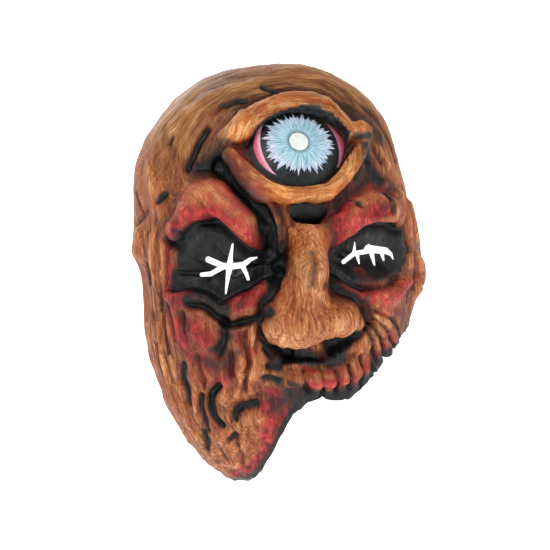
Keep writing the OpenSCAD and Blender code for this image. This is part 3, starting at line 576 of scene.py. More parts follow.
def prism(name, ring, origin, right, up, away, near, far):
    """Solid between two copies of a ring, drawn on right and up axes and pushed along a third."""
    origin, right, up, away = (np.array(v, float) for v in (origin, right, up, away))
    flat = np.array([origin + x * right + y * up for x, y in ring])
    count = len(ring)
    sides = [(k, (k + 1) % count, count + (k + 1) % count, count + k) for k in range(count)]
    points = np.vstack([flat + near * away, flat + far * away])
    return mesh_piece(name, points, [tuple(range(count))[::-1]] + sides + [tuple(range(count, 2 * count))], smooth=False)


LID_CORNER, LID_CORNER_RISE, LID_TOP, LID_BOTTOM = 27.0, 3.2, 18.6, -21.6


def lid_arcs():
    """Centre height and radius of the arcs of the upper and the lower lid edge."""
    arcs = []
    for extreme in (LID_TOP, LID_BOTTOM):
        sagitta = abs(extreme - LID_CORNER_RISE)
        radius = (LID_CORNER ** 2 + sagitta ** 2) / (2 * sagitta)
        arcs.append((extreme - math.copysign(radius, extreme), radius))
    return arcs


def lid_outline(steps=40):
    ring = []
    for (centre, radius), sign in zip(lid_arcs(), (1, -1)):
        half = math.atan2(LID_CORNER, abs(LID_CORNER_RISE - centre))
        for k in range(steps):
            angle = half - 2 * half * k / steps
            ring.append((sign * radius * math.sin(angle), centre + sign * radius * math.cos(angle)))
    return ring


def outside_lids(x, y):
    """How far points in the eye's plane lie outside its lid opening (negative inside)."""
    return np.max([np.hypot(x, y - centre) - radius for centre, radius in lid_arcs()], 0)


def cut(piece, cutters):
    """Takes the cutters' solids out of a mesh piece and removes them."""
    for index, cutter in enumerate(cutters):
        take = piece.modifiers.new(f"cut_{index}", "BOOLEAN")
        take.operation, take.object, take.solver = "DIFFERENCE", cutter, "MANIFOLD"
    bpy.context.view_layer.update()
    result = bpy.data.meshes.new_from_object(piece.evaluated_get(bpy.context.evaluated_depsgraph_get()))
    piece.modifiers.clear()
    before = piece.data
    piece.data = result
    bpy.data.meshes.remove(before)
    for cutter in cutters:
        mesh = cutter.data
        bpy.data.objects.remove(cutter)
        bpy.data.meshes.remove(mesh)


def joined_solid(name, parts):
    """One closed solid from overlapping parts."""
    first, others = parts[0], parts[1:]
    for index, other in enumerate(others):
        add = first.modifiers.new(f"add_{index}", "BOOLEAN")
        add.operation, add.object, add.solver = "UNION", other, "MANIFOLD"
    bpy.context.view_layer.update()
    mesh = bpy.data.meshes.new_from_object(first.evaluated_get(bpy.context.evaluated_depsgraph_get()))
    for part in parts:
        old = part.data
        bpy.data.objects.remove(part)
        bpy.data.meshes.remove(old)
    return link(name, mesh)


def slit_cutter(name, origin, strokes):
    parts = [prism(f"{name}_{k}", stroke_outline(*s), origin, VIEW_RIGHT, VIEW_UP, VIEW_BACK, -22 - 0.01 * k, 16 + 0.01 * k)
             for k, s in enumerate(strokes)]
    return joined_solid(name, parts)


def clear_of_dome(points, gap):
    """Moves points that lie over the eye insert outwards until they clear its dome."""
    x, y, z = eye_frame(points)
    near = rise(np.hypot(x, y), 37, 33.5) * (z > -30)
    out = points - EYE_CENTRE
    distance = np.linalg.norm(out, axis=-1)
    push = np.clip(EYE_RADIUS + gap - distance, 0, None) * near
    return points + out * (push / distance)[..., None]


def build_skin():
    fine, coarse = SKIN_CELLS, SKIN_CELLS // 2
    d, reach, clock = spread(fine)
    outer, height, loose, form = sculpted(d, reach, clock)
    outer = clear_of_dome(outer, 1.6)
    # inner surface: the shell less the wall, kept under the deepest grooves
    ways = d[::2, ::2]
    lowest = lowest_near(outer, ways, 0.03) - LIP
    inner_height = np.minimum(np.minimum(form[::2, ::2], 9) - WALL, lowest)
    inner_height = np.minimum(blurred(inner_height, 1.2), lowest)
    inner = (shell_radius(ways) + inner_height)[..., None] * ways
    inner = clear_of_dome(inner, 0.35)
    points, start = np.vstack([outer.reshape(-1, 3), inner.reshape(-1, 3)]), (fine + 1) ** 2
    outer_rim, inner_rim = rim_loop(fine, 0), rim_loop(coarse, start)
    inside_row = rim_loop_inset(fine)
    lip = points[outer_rim] * 0.5 + np.repeat(points[inner_rim], 2, 0) * 0.5
    edge_way = points[outer_rim] - points[inside_row]
    edge_way /= np.linalg.norm(edge_way, axis=-1, keepdims=True) + 1e-9
    lip_start = len(points)
    points = np.vstack([points, lip + 0.7 * edge_way])
    faces = shell_grid_faces(fine, 0).tolist() + shell_grid_faces(coarse, start)[:, ::-1].tolist()
    count = 4 * fine
    for k in range(count):
        n = (k + 1) % count
        faces.append([outer_rim[n], outer_rim[k], lip_start + k, lip_start + n])
    for k in range(4 * coarse):
        n = (k + 1) % (4 * coarse)
        a, b, c = lip_start + 2 * k, lip_start + 2 * k + 1, lip_start + (2 * k + 2) % count
        faces += [[a, inner_rim[k], b], [b, inner_rim[k], inner_rim[n]], [b, inner_rim[n], c]]
    faces = [[int(v) for v in face] for face in faces]
    piece = mesh_piece("latex_skin_mesh", points, faces)
    looks = skin_paint(outer, height, loose, reach, clock)
    inside_looks = looks[::2, ::2].copy()
    x, y, z = eye_frame(inner)
    near_lids = (outside_lids(x, y) < 6) & (z > -26)
    inside_looks[..., 0] = near_lids
    inside_looks[near_lids, 1] = 1.3
    flat = looks.reshape(-1, looks.shape[-1])
    grid_looks = np.vstack([flat, inside_looks.reshape(-1, looks.shape[-1]), flat[outer_rim]])
    return piece, points, grid_looks


def rim_loop_inset(cells):
    """For each rim point of the grid, the grid point one row in."""
    loop = rim_loop(cells, 0)
    i, j = np.divmod(loop, cells + 1)
    return np.clip(i, 1, cells - 1) * (cells + 1) + np.clip(j, 1, cells - 1)


def skin_paint(outer, height, loose, reach, clock):
    """Shares for each grid point: outside, black, red, raised; round strokes, warm, dull, rim; soot, flush, hollow, none."""
    x, y, z = eye_frame(outer)
    lid_gap = outside_lids(x, y)
    facing = z > -26
    ragged = loose + 0.9 * np.stack([layered(loose / 3.2, 2, seed) for seed in (31, 32, 33)], -1)
    black = painted(ragged, BLACK)
    edge = reach + 0.014 * layered(loose / 5, 2, 37)
    torn = rise(clock, 251, 256) * rise(clock, 336, 326)
    black = np.maximum(black, 1.2 * torn * rise(edge, 0.925, 0.965))
    black = np.maximum(black, np.where(facing, 1.3 * rise(lid_gap, 1.0, 0.1), 0))
    lids = np.where(facing, rise(lid_gap, 14, 10), 0)
    red = painted(ragged, RED)
    red = np.maximum(red, 1.5 * rise(clock, 251, 256) * rise(clock, 268, 261) * rise(edge, 0.84, 0.9))
    raised = np.clip(0.5 + 0.3 * (height - blurred(height, 4)), 0, 1)
    # hollow: depth below the broadly smoothed surface, which the latex material uses to paint shade into the hollows
    hollow = np.clip(0.35 * (blurred(height, 9) - height), 0, 1)
    round_strokes = rise(lid_gap, 60, 18) * rise(outer[..., 2], 20, 45)
    round_strokes = np.maximum(round_strokes, rise(outer[..., 2], 50, 80))
    nose = touch(outer, 17, [(-5, 2), (-7, -20)])
    warm = np.maximum(lids, nose)
    dull = rise(outer[..., 2], 45, 75) * (1 - lids)
    rim = rise(reach, 0.93, 0.99)
    soot = blurred(np.clip(black, 0, 1), 5)
    flush = blurred(np.clip(red, 0, 1), 5)
    return np.stack([np.ones_like(x), black, red, raised, round_strokes, warm, dull, rim, soot, flush, hollow, lids], -1)


def store_looks(piece, points, looks):
    """Gives each vertex of the cut skin the shares of the nearest grid point."""
    tree = kdtree.KDTree(len(points))
    for index, point in enumerate(points * MM):
        tree.insert(point, index)
    tree.balance()
    mesh = piece.data
    nearest = np.array([tree.find(v.co)[1] for v in mesh.vertices])
    own = looks[nearest]
    # the cut edge of the lids is black all round
    x, y, z = eye_frame(np.array([v.co for v in mesh.vertices]) / MM)
    edge = (np.abs(outside_lids(x, y)) < 0.5) & (z > -26)
    own[edge, :2] = 1, 1.3
    for name, columns in (("paint", own[:, 0:4]), ("strokes", own[:, 4:8]), ("shade", own[:, 8:12])):
        layer = mesh.attributes.new(name, "FLOAT_COLOR", "POINT")
        layer.data.foreach_set("color", np.clip(columns, 0, 1.5).astype(np.float32).ravel())


def skin_material():
    n = Nodes("painted_latex")

    def stored(name):
        colour = n.add("Attribute", out="Color", attribute_name=name)
        parts = [n.add("SeparateColor", {0: colour}, out=k) for k in range(3)]
        return parts + [n.add("Attribute", out="Alpha", attribute_name=name)]

    outside, black, red, raised = stored("paint")
    rounded, warm, dull, rim = stored("strokes")
    soot, flush, hollow, lids = stored("shade")
    # brush strokes: upright on the cheeks and nose, round the eye on the lids and crown
    wobble = n.add("TexNoise", {"Vector": n.place, "Scale": 90.0, "Detail": 2.0}, out="Color")
    loose = n.vector("ADD", n.place, n.mapped((0.005, 0.005, 0.005), wobble))
    upright = n.mapped((1300, 1300, 150), loose)
    q = n.add("Mapping", {"Vector": loose, "Location": tuple(EYE_MIDDLE * MM), "Rotation": (math.pi / 2 - EYE_TILT, 0, 0)}, vector_type="TEXTURE")
    flat = n.mapped((0.8, 1, 0), q)
    turn = n.mapped((5.5, 5.5, 5.5), n.vector("NORMALIZE", flat))
    circling = n.vector("ADD", turn, n.add("CombineXYZ", {2: n.math("MULTIPLY", n.vector("LENGTH", flat, out="Value"), 1300)}))
    hair = n.blend(rounded, n.noise(upright, 1, 3, 0.65), n.noise(circling, 1, 3, 0.65))
    streak = n.blend(rounded, n.noise(upright, 0.36, 2, 0.55), n.noise(circling, 0.36, 2, 0.55))
    mottle = n.noise(n.place, 210, 4, 0.62)
    patches = n.noise(n.place, 46, 3, 0.6)
    brushed = n.math("ADD", n.math("MULTIPLY", hair, 0.55), n.math("MULTIPLY", streak, 0.45))
    lively = n.math("ADD", brushed, n.math("MULTIPLY", n.math("SUBTRACT", raised, 0.5), 0.22))
    # painted shade: the brush tone drops a little in the broad hollows; beside the black it also drops with the sprayed
    # black paint's halo
    lively = n.math("SUBTRACT", lively, n.math("MULTIPLY", n.math("ADD", hollow, soot), 0.07))
    cheek = n.ramp(lively, (0.34, paint_colour(78, 30, 8)), (0.44, paint_colour(128, 66, 32)), (0.52, paint_colour(164, 96, 54)),
                   (0.6, paint_colour(196, 126, 76)), (0.68, paint_colour(222, 168, 122)))
    nose = n.ramp(lively, (0.34, paint_colour(86, 26, 6)), (0.43, paint_colour(148, 68, 16)), (0.51, paint_colour(186, 100, 36)),
                  (0.59, paint_colour(214, 132, 64)), (0.67, paint_colour(250, 188, 122)))
    crown = n.ramp(lively, (0.38, paint_colour(84, 44, 16)), (0.46, paint_colour(132, 82, 40)), (0.53, paint_colour(158, 106, 60)),
                   (0.6, paint_colour(182, 128, 78)), (0.66, paint_colour(216, 164, 110)))
    tan = n.mix(dull, n.mix(warm, cheek, nose), crown)
    tan = n.mix(n.math("MULTIPLY", n.span(patches, 0.46, 0.62), 0.5), tan, n.mix(0.55, tan, paint_colour(150, 62, 44)))
    soft = n.math("SUBTRACT", n.math("ADD", n.math("MULTIPLY", mottle, 0.55), n.math("MULTIPLY", brushed, 0.45)), 0.5)
    tone = n.math("ADD", n.math("MULTIPLY", mottle, 0.5), n.math("MULTIPLY", lively, 0.5))
    blood = n.ramp(tone, (0.38, paint_colour(48, 12, 20)), (0.46, paint_colour(104, 20, 30)), (0.52, paint_colour(158, 28, 38)),
                   (0.58, paint_colour(188, 50, 48)), (0.66, paint_colour(206, 112, 88)))
    red_share = n.span(n.math("ADD", n.math("ADD", n.math("MULTIPLY", red, 0.7), n.math("MULTIPLY", flush, 0.4)), n.math("MULTIPLY", soft, 2.2)), 0.2, 0.85)
    black_share = n.span(n.math("ADD", n.math("ADD", n.math("MULTIPLY", black, 0.8), n.math("MULTIPLY", soot, 0.35)), n.math("MULTIPLY", soft, 1.5)), 0.28, 0.92)
    soot_colour = n.ramp(tone, (0.38, paint_colour(8, 10, 11)), (0.52, paint_colour(20, 22, 23)), (0.62, paint_colour(58, 60, 60)))
    colour = n.mix(n.math("MULTIPLY", red_share, 0.92), tan, blood)
    smoke = n.math("MULTIPLY", n.span(n.math("ADD", soot, n.math("MULTIPLY", soft, 0.8)), 0.04, 0.8), 0.8)
    colour = n.mix(smoke, colour, n.mix(1.0, colour, paint_colour(86, 66, 66), blend="MULTIPLY"))
    # painted shade: the colour is darkened in the broad hollows of the sculpt, where shade would gather
    painted_hollow_shade = n.math("MULTIPLY", hollow, 0.55)
    colour = n.mix(painted_hollow_shade, colour, n.mix(1.0, colour, paint_colour(120, 84, 70), blend="MULTIPLY"))
    colour = n.mix(black_share, colour, soot_colour)
    raw = n.ramp(n.noise(n.place, 55, 4, 0.6), (0.35, paint_colour(190, 160, 116)), (0.65, paint_colour(218, 194, 150)))
    spray = n.math("MULTIPLY", n.span(n.math("ADD", rim, n.math("MULTIPLY", soft, 0.8)), 0.2, 0.9), 0.75)
    raw = n.mix(spray, raw, n.mix(0.5, tan, paint_colour(140, 96, 64)))
    colour = n.mix(outside, raw, colour)
    pores = n.noise(n.place, 1700, 3, 0.6)
    height = n.math("ADD", n.math("MULTIPLY", lively, 0.8), n.math("MULTIPLY", pores, 0.12))
    relief_normal = n.bump(n.math("MULTIPLY", height, n.blend(outside, 0.25, 1.0)), 0.0012, 0.8)
    gloss = n.blend(black_share, n.blend(mottle, 0.6, 0.44), n.blend(mottle, 0.44, 0.28))
    return n.finish(Base_Color=colour, Roughness=n.blend(outside, 0.6, gloss), Normal=relief_normal,
                    Specular_IOR_Level=0.3, Subsurface_Weight=0.03, Subsurface_Radius=(0.003, 0.0015, 0.001))


# ---------------------------------------------------------------- third eye
PUPIL, PUPIL_RADIUS, IRIS, IRIS_SOLID, IRIS_REACH = (-0.1, 1.8), 5.2, (0.6, 1.5), 12.6, 19.0
# Circles of the pink corners: x, y and radius of the outer circle, then of the inner one
CORNERS = ((-5.7, 1.0, 17.5, 5.3, 1.0, 25.0), (14.2, 0.0, 13.8, -0.2, 0.0, 23.1))


def lathe(name, profile, segments, origin, right, up, out, material=None, closed=False):
    """Turned piece from [radius, height] points, about an axis through the origin."""
    origin, right, up, out = (np.array(v, float) for v in (origin, right, up, out))
    angles = np.linspace(0, 2 * np.pi, segments, endpoint=False)
    rings, points, faces = [], [], []
    for r, h in profile:
        if r < 1e-6:
            rings.append([len(points)] * segments)
            points.append(origin + h * out)
        else:
            rings.append(list(range(len(points), len(points) + segments)))
            points += [origin + r * (math.cos(a) * right + math.sin(a) * up) + h * out for a in angles]
    pairs = list(zip(rings, rings[1:])) + ([(rings[-1], rings[0])] if closed else [])
    for low, high in pairs:
        for k in range(segments):
            n = (k + 1) % segments
            face = [low[k], low[n], high[n], high[k]]
            faces.append([v for i, v in enumerate(face) if v != face[i - 1]])
    return mesh_piece(name, points, faces, material)


def eye_material():
    n = Nodes("painted_eye_insert")
    q = n.add("Mapping", {"Vector": n.place, "Location": tuple(EYE_MIDDLE * MM), "Rotation": (math.pi / 2 - EYE_TILT, 0, 0)}, vector_type="TEXTURE")
    q = n.mapped((1000, 1000, 1000), q)
    q = n.vector("ADD", q, n.vector("MULTIPLY", n.vector("SUBTRACT", n.add("TexNoise", {"Vector": q, "Scale": 0.6, "Detail": 2.0}, out="Color"), (0.5, 0.5, 0.5)), (0.5, 0.5, 0)))

    def distance(x, y):
        return n.vector("LENGTH", n.mapped((1, 1, 0), n.vector("SUBTRACT", q, (x, y, 0))), out="Value")

    away = n.vector("SUBTRACT", q, (IRIS[0], IRIS[1], 0))
    radius = n.vector("LENGTH", n.mapped((0.88, 1, 0), away), out="Value")
    x, y = (n.add("SeparateXYZ", {0: away}, out=k) for k in (0, 1))
    turn = n.math("MULTIPLY", n.math("ARCTAN2", y, x), 1 / (2 * math.pi))
    spikes = None
    for count, base, longest, seed in ((47, 12.8, 6.2, 3), (71, 12.4, 4.6, 11), (31, 13.2, 6.6, 23), (97, 12.6, 3.4, 41)):
        place = n.math("ADD", n.math("MULTIPLY", turn, count), 0.37 * seed)
        cell = n.math("FLOOR", n.math("WRAP", place, count, 0))
        length = n.add("TexWhiteNoise", {"W": n.math("ADD", cell, seed)}, out="Value", noise_dimensions="1D")
        length = n.math("ADD", n.math("MULTIPLY", length, longest * 0.75), longest * 0.25)
        side = n.math("MULTIPLY", n.math("ABSOLUTE", n.math("SUBTRACT", n.math("FRACT", place), 0.5)), 2)
        taper = n.math("SUBTRACT", 1.0, n.math("DIVIDE", n.math("SUBTRACT", radius, base), length))
        spike = n.span(n.math("SUBTRACT", taper, side), -0.04, 0.1)
        spikes = spike if spikes is None else n.math("MAXIMUM", spikes, spike)
    around = n.vector("SCALE", n.vector("NORMALIZE", n.mapped((1, 1, 0), away)))
    around.node.inputs["Scale"].default_value = 11.0
    fibre_place = n.vector("ADD", around, n.add("CombineXYZ", {2: n.math("MULTIPLY", radius, 0.16)}))
    fibre = n.noise(fibre_place, 1.6, 4, 0.65)
    blue = n.ramp(fibre, (0.36, paint_colour(118, 160, 178)), (0.5, paint_colour(158, 200, 216)), (0.64, paint_colour(206, 230, 240)))
    tips = n.ramp(fibre, (0.38, paint_colour(150, 178, 204)), (0.52, paint_colour(190, 206, 226)), (0.64, paint_colour(236, 240, 250)))
    iris = n.mix(n.span(radius, 9.5, 15.0), blue, tips)
    near_pupil = n.span(distance(*PUPIL), PUPIL_RADIUS + 2.6, PUPIL_RADIUS + 0.1)
    iris = n.mix(n.math("MULTIPLY", near_pupil, n.span(fibre, 0.35, 0.6)), iris, paint_colour(96, 124, 134))
    black = n.ramp(n.noise(q, 0.25, 3, 0.6), (0.35, paint_colour(20, 24, 25)), (0.7, paint_colour(38, 44, 46)))
    colour = n.mix(spikes, black, iris)
    for side, (ax, ay, ar, bx, by, br) in zip((-1, 1), CORNERS):
        inside = n.span(distance(ax, ay), ar + 0.15, ar - 0.25)
        beyond = n.span(distance(bx, by), br - 0.15, br + 0.3)
        share = n.math("MULTIPLY", inside, beyond)
        across = n.span(distance(bx, by), br, br + 4.2, smooth=False)
        pale = paint_colour(252, 196, 208) if side < 0 else paint_colour(214, 132, 158)
        deep = paint_colour(214, 42, 84) if side < 0 else paint_colour(190, 58, 96)
        streaked = n.math("ADD", across, n.math("MULTIPLY", n.math("SUBTRACT", n.noise(n.mapped((1.2, 0.25, 1), q), 1.4, 3, 0.6), 0.5), 0.9))
        pink = n.ramp(streaked, (0.1, pale), (0.45, paint_colour(232, 110, 142)), (0.95, deep))
        colour = n.mix(n.math("MULTIPLY", share, n.math("GREATER_THAN", n.math("MULTIPLY", x, side), 10.0)), colour, pink)
    pupil_gap = distance(*PUPIL)
    colour = n.mix(n.span(pupil_gap, PUPIL_RADIUS + 0.45, PUPIL_RADIUS + 0.1), colour, paint_colour(52, 62, 66))
    pupil = n.ramp(n.noise(q, 0.5, 3, 0.6), (0.35, paint_colour(222, 230, 226)), (0.65, paint_colour(240, 245, 241)))
    colour = n.mix(n.span(pupil_gap, PUPIL_RADIUS + 0.1, PUPIL_RADIUS - 0.25), colour, pupil)
    brush = n.bump(n.math("ADD", fibre, n.math("MULTIPLY", spikes, 0.5)), 0.00025, 0.5)
    return n.finish(Base_Color=colour, Roughness=n.blend(fibre, 0.5, 0.36), Normal=brush, Specular_IOR_Level=0.3)


def build_eye():
    edge = math.asin(EYE_RIM_RADIUS / EYE_RADIUS)
    inner_radius = EYE_RADIUS - 2
    inner_edge = math.asin((EYE_RIM_RADIUS - 0.6) / inner_radius)
    outside = [(EYE_RADIUS * math.sin(edge * k / 40), EYE_RADIUS * math.cos(edge * k / 40)) for k in range(41)]
    rim = [(EYE_RIM_RADIUS, EYE_RADIUS * math.cos(edge) - 0.5)]
    inside = [(inner_radius * math.sin(inner_edge * k / 16), inner_radius * math.cos(inner_edge * k / 16)) for k in range(16, -1, -1)]
    inside = [(r, h) for r, h in inside]
    return lathe("third_eye_dome", outside + rim + inside, 128, EYE_CENTRE, EYE_RIGHT, EYE_UP, EYE_OUT, eye_material())


# ---------------------------------------------------------------- foam pads
def foam_material(name, dark, light):
    n = Nodes(name)
    cells = n.add("TexVoronoi", {"Vector": n.place, "Scale": 1400.0}, out="Distance", feature="F1")
    cloud = n.noise(n.place, 90, 3, 0.6)
    nap = n.noise(n.place, 2600, 3, 0.7)
    tone = n.math("ADD", n.math("MULTIPLY", cells, 0.5), n.math("ADD", n.math("MULTIPLY", cloud, 0.3), n.math("MULTIPLY", nap, 0.3)))
    colour = n.ramp(tone, (0.3, dark), (0.62, light))
    return n.finish(Base_Color=colour, Roughness=0.95, Normal=n.bump(n.math("ADD", cells, n.math("MULTIPLY", nap, 0.4)), 0.0004, 0.7),
                    Sheen_Weight=0.25, Sheen_Roughness=0.5, Specular_IOR_Level=0.2)


def puffed(piece, voxel, cap):
    """Swells a closed piece as a cloth filled with foam, no point further than cap, all in mm."""
    remesh = piece.modifiers.new("remesh", "REMESH")
    remesh.mode, remesh.voxel_size, remesh.use_smooth_shade = "VOXEL", voxel * MM, True
    bake_modifiers(piece)
    start = vertex_array(piece.data)
    cloth = piece.modifiers.new("cloth", "CLOTH")
    cloth.settings.use_pressure, cloth.settings.uniform_pressure_force = True, 4.0
    cloth.settings.effector_weights.gravity = 0
    cloth.settings.tension_stiffness = cloth.settings.compression_stiffness = 40
    cloth.point_cache.frame_start, cloth.point_cache.frame_end = 1, 20
    scene = bpy.context.scene
    for step in range(1, 21):
        scene.frame_set(step)
    bake_modifiers(piece)
    scene.frame_set(1)
    moved = vertex_array(piece.data) - start
    length = np.linalg.norm(moved, axis=1, keepdims=True)
    shape = start + moved * np.minimum(1, cap * MM / np.maximum(length, 1e-9))
    piece.data.vertices.foreach_set("co", shape.astype(np.float32).ravel())
    smooth = piece.modifiers.new("smooth", "SUBSURF")
    smooth.levels = smooth.render_levels = 1
    bake_modifiers(piece)
    piece.data.shade_smooth()


def vertex_array(mesh):
    flat = np.empty(len(mesh.vertices) * 3, np.float32)
    mesh.vertices.foreach_get("co", flat)
    return flat.reshape(-1, 3).astype(float)


def bake_modifiers(piece):
    bpy.context.view_layer.update()
    mesh = bpy.data.meshes.new_from_object(piece.evaluated_get(bpy.context.evaluated_depsgraph_get()))
    piece.modifiers.clear()
    before, piece.data = piece.data, mesh
    bpy.data.meshes.remove(before)


def cheek_pad_mesh(name, lon, lat, spread_angle, top, thickness):
    """Pad that follows the inside of the latex, between two depths under the plain forms."""
    rings, count = 8, 36
    middle, east = toward(lon, lat), toward(lon + 90, 0)
    north = np.cross(east, middle) * -1
    if north[2] < 0:
        north = -north
    directions = [middle]
    for r in range(1, rings + 1):
        back = math.radians(spread_angle * r / rings)
        for k in range(count):
            a = 2 * math.pi * k / count
            directions.append(math.cos(back) * middle + math.sin(back) * (math.cos(a) * east + math.sin(a) * north))
    d = np.array(directions)
    shell = on_shell(d)
    height = relief_capped(shell)
    outer, inner = (shell + (height - depth)[:, None] * d for depth in (top, top + thickness))
    total = len(d)
    faces = []
    for start, flip in ((0, False), (total, True)):
        for k in range(count):
            n = (k + 1) % count
            face = [start, start + 1 + n, start + 1 + k]
            faces.append(face[::-1] if flip else face)
            for r in range(rings - 1):
                a, b = start + 1 + r * count + k, start + 1 + r * count + n
                face = [a, b, b + count, a + count]
                faces.append(face[::-1] if flip else face)
    last = 1 + (rings - 1) * count
    faces += [[last + k, last + (k + 1) % count, total + last + (k + 1) % count, total + last + k] for k in range(count)]
    return mesh_piece(name, np.vstack([outer, inner]), faces)


def relief_capped(p):
    """Height of the CAD shell's inner forms at places on the plain shell."""
    height = np.zeros(p.shape[:-1])
    for radius, rise_by, points in FORMS:
        line = on_shell(toward(*np.array(points, float).T))
        height += min(rise_by, 9) * np.exp(-(line_distance(p, line) / radius) ** 2)
    return height


def build_pads():
    foam = foam_material("pad_foam", paint_colour(30, 30, 32), paint_colour(74, 74, 78))
    rim_height = EYE_POLE - EYE_RADIUS + math.sqrt(EYE_RADIUS ** 2 - EYE_RIM_RADIUS ** 2)
    profile = [(0, -0.9), (30.5, -0.9), (32.3, -2.2), (32.4, -5.4), (30.6, -7.3), (27.5, -8.0), (0, -8.0)]
    forehead = lathe("forehead_foam", [(r, h + rim_height) for r, h in profile[::-1]], 64, EYE_MIDDLE, EYE_RIGHT, EYE_UP, EYE_OUT)
    pads = [(forehead, "forehead_pad")]
    for side, lon in (("left", -62), ("right", 62)):
        pads.append((cheek_pad_mesh(f"{side}_cheek_foam", lon, -22, 12.2, WALL + 1.1, 4.4), f"{side}_cheek_pad"))
    for piece, node in pads:
        puffed(piece, 2.2, 0.7)
        piece.data.materials.clear()
        piece.data.materials.append(foam)
        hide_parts(node)
        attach(piece, "mask")


# ---------------------------------------------------------------- head strap
def woven_material(name, dark, light, along, pitch, ribs):
    """Narrow woven goods: ribs along the band and yarns across it."""
    n = Nodes(name)
    z = n.add("SeparateXYZ", {0: n.place}, out=2)
    rib = n.math("SINE", n.math("MULTIPLY", z, 2 * math.pi / (ribs * MM)))
    yarn = n.noise(n.mapped((along, along, 900), n.place), 1, 2, 0.5)
    knit = n.add("TexVoronoi", {"Vector": n.mapped((1 / (pitch * MM), 1 / (pitch * MM), 1 / (ribs * MM)), n.place), "Scale": 1.0}, out="Distance")
    tone = n.math("ADD", n.math("MULTIPLY", rib, 0.12), n.math("ADD", n.math("MULTIPLY", yarn, 0.4), n.math("MULTIPLY", knit, 0.35)))
    colour = n.ramp(tone, (0.25, dark), (0.6, light))
    height = n.math("ADD", n.math("MULTIPLY", rib, 0.5), n.math("SUBTRACT", n.math("MULTIPLY", yarn, 0.3), knit))
    return n.finish(Base_Color=colour, Roughness=0.85, Normal=n.bump(height, 0.0003, 0.8), Sheen_Weight=0.2,
                    Sheen_Roughness=0.4, Specular_IOR_Level=0.25)


def metal_material(name, base, rough):
    n = Nodes(name)
    scratch = n.noise(n.mapped((900, 2600, 900), n.place), 1, 3, 0.6)
    cloud = n.noise(n.place, 260, 3, 0.6)
    colour = n.mix(n.span(cloud, 0.4, 0.75), base, tuple(0.72 * c for c in base[:3]) + (1,))
    return n.finish(Base_Color=colour, Metallic=1.0, Roughness=n.blend(scratch, rough - 0.08, rough + 0.16),
                    Normal=n.bump(scratch, 0.0001, 0.35))


def plastic_material(name, base, rough):
    n = Nodes(name)
    grain = n.noise(n.place, 2400, 3, 0.6)
    cloud = n.noise(n.place, 120, 3, 0.6)
    colour = n.mix(n.span(cloud, 0.35, 0.7), base, tuple(1.5 * c for c in base[:3]) + (1,))
    return n.finish(Base_Color=colour, Roughness=n.blend(grain, rough - 0.06, rough + 0.12), Normal=n.bump(grain, 0.00012, 0.5),
                    Specular_IOR_Level=0.45)


def thread_material():
    n = Nodes("sewing_thread")
    twist = n.math("SINE", n.vector("DOT_PRODUCT", n.place, (9000, 9000, 14000), out="Value"))
    colour = n.mix(n.span(twist, -1, 1), paint_colour(150, 148, 142), paint_colour(228, 226, 218))
    return n.finish(Base_Color=colour, Roughness=0.7, Normal=n.bump(twist, 0.0001, 0.6))


BAND_WIDTH, BAND_THICK, STRAP_Z = 20.0, 1.2, 20.0
TAB_X, TAB_INNER_X, RING_X, LAYER_X = 65.0, 63.8, 62.5, 61.2
RING_FRONT, RING_REAR = 6.0, (-58.74, 16.34)
FOLD_RADIUS = 1.3
# the slack elastic leans in by this angle behind each side of the mask
LEAN = 20
BEND_MIDDLE, BEND_RADIUS = (43.2, 18.0), 20.0
REAR_MIDDLE, REAR_RADIUS = (2.16, 66.4), 42.0
TAIL_END = (-40.88, 59.85)


def arc(x, y, radius, start, end, steps):
    return [(x + radius * math.cos(math.radians(start + (end - start) * k / steps)),
             y + radius * math.sin(math.radians(start + (end - start) * k / steps))) for k in range(steps + 1)]


def line(a, b, steps):
    return [(a[0] + (b[0] - a[0]) * k / steps, a[1] + (b[1] - a[1]) * k / steps) for k in range(steps)]


def ribbon(name, path, width, thick, material, ribs=0, rounded_start=0.0, tuck=0.04):
    """A band standing on edge along a plan path, with fine ribs along it and soft edges."""
    path = np.array(path, float)
    run = np.gradient(path, axis=0)
    run /= np.linalg.norm(run, axis=1, keepdims=True)
    side = np.stack([run[:, 1], -run[:, 0]], 1)
    length = np.concatenate([[0], np.cumsum(np.linalg.norm(np.diff(path, axis=0), axis=1))])
    rows = 8 * ribs if ribs else 16
    levels = np.linspace(-1, 1, rows + 1)
    swell = 1 - 0.16 * (0.5 - 0.5 * np.cos(np.pi * (levels + 1) * ribs)) if ribs else np.ones(rows + 1)
    edge = np.clip((1 - np.abs(levels)) / 0.06, 0, 1)
    half = (thick / 2 - tuck) * swell * (0.45 + 0.55 * np.sqrt(edge))
    section = [(h, v) for h, v in zip(half, levels)] + [(-h, v) for h, v in zip(half[::-1], levels[::-1])]
    points, count = [], len(section)
    for place, out, gone in zip(path, side, length):
        reach = width / 2
        if rounded_start and gone < rounded_start:
            reach = math.sqrt(max(rounded_start ** 2 - (rounded_start - gone) ** 2, 0.04))
        for h, v in section:
            points.append((place[0] + out[0] * h, place[1] + out[1] * h, STRAP_Z + v * reach))
    faces = []
    for s in range(len(path) - 1):
        for k in range(count):
            n = (k + 1) % count
            faces.append([s * count + k, s * count + n, (s + 1) * count + n, (s + 1) * count + k])
    half_count = count // 2
    for start, flip in ((0, False), ((len(path) - 1) * count, True)):
        for k in range(half_count - 1):
            face = [start + k, start + count - 1 - k, start + count - 2 - k, start + k + 1]
            faces.append(face[::-1] if flip else face)
    return mesh_piece(name, points, faces, material)


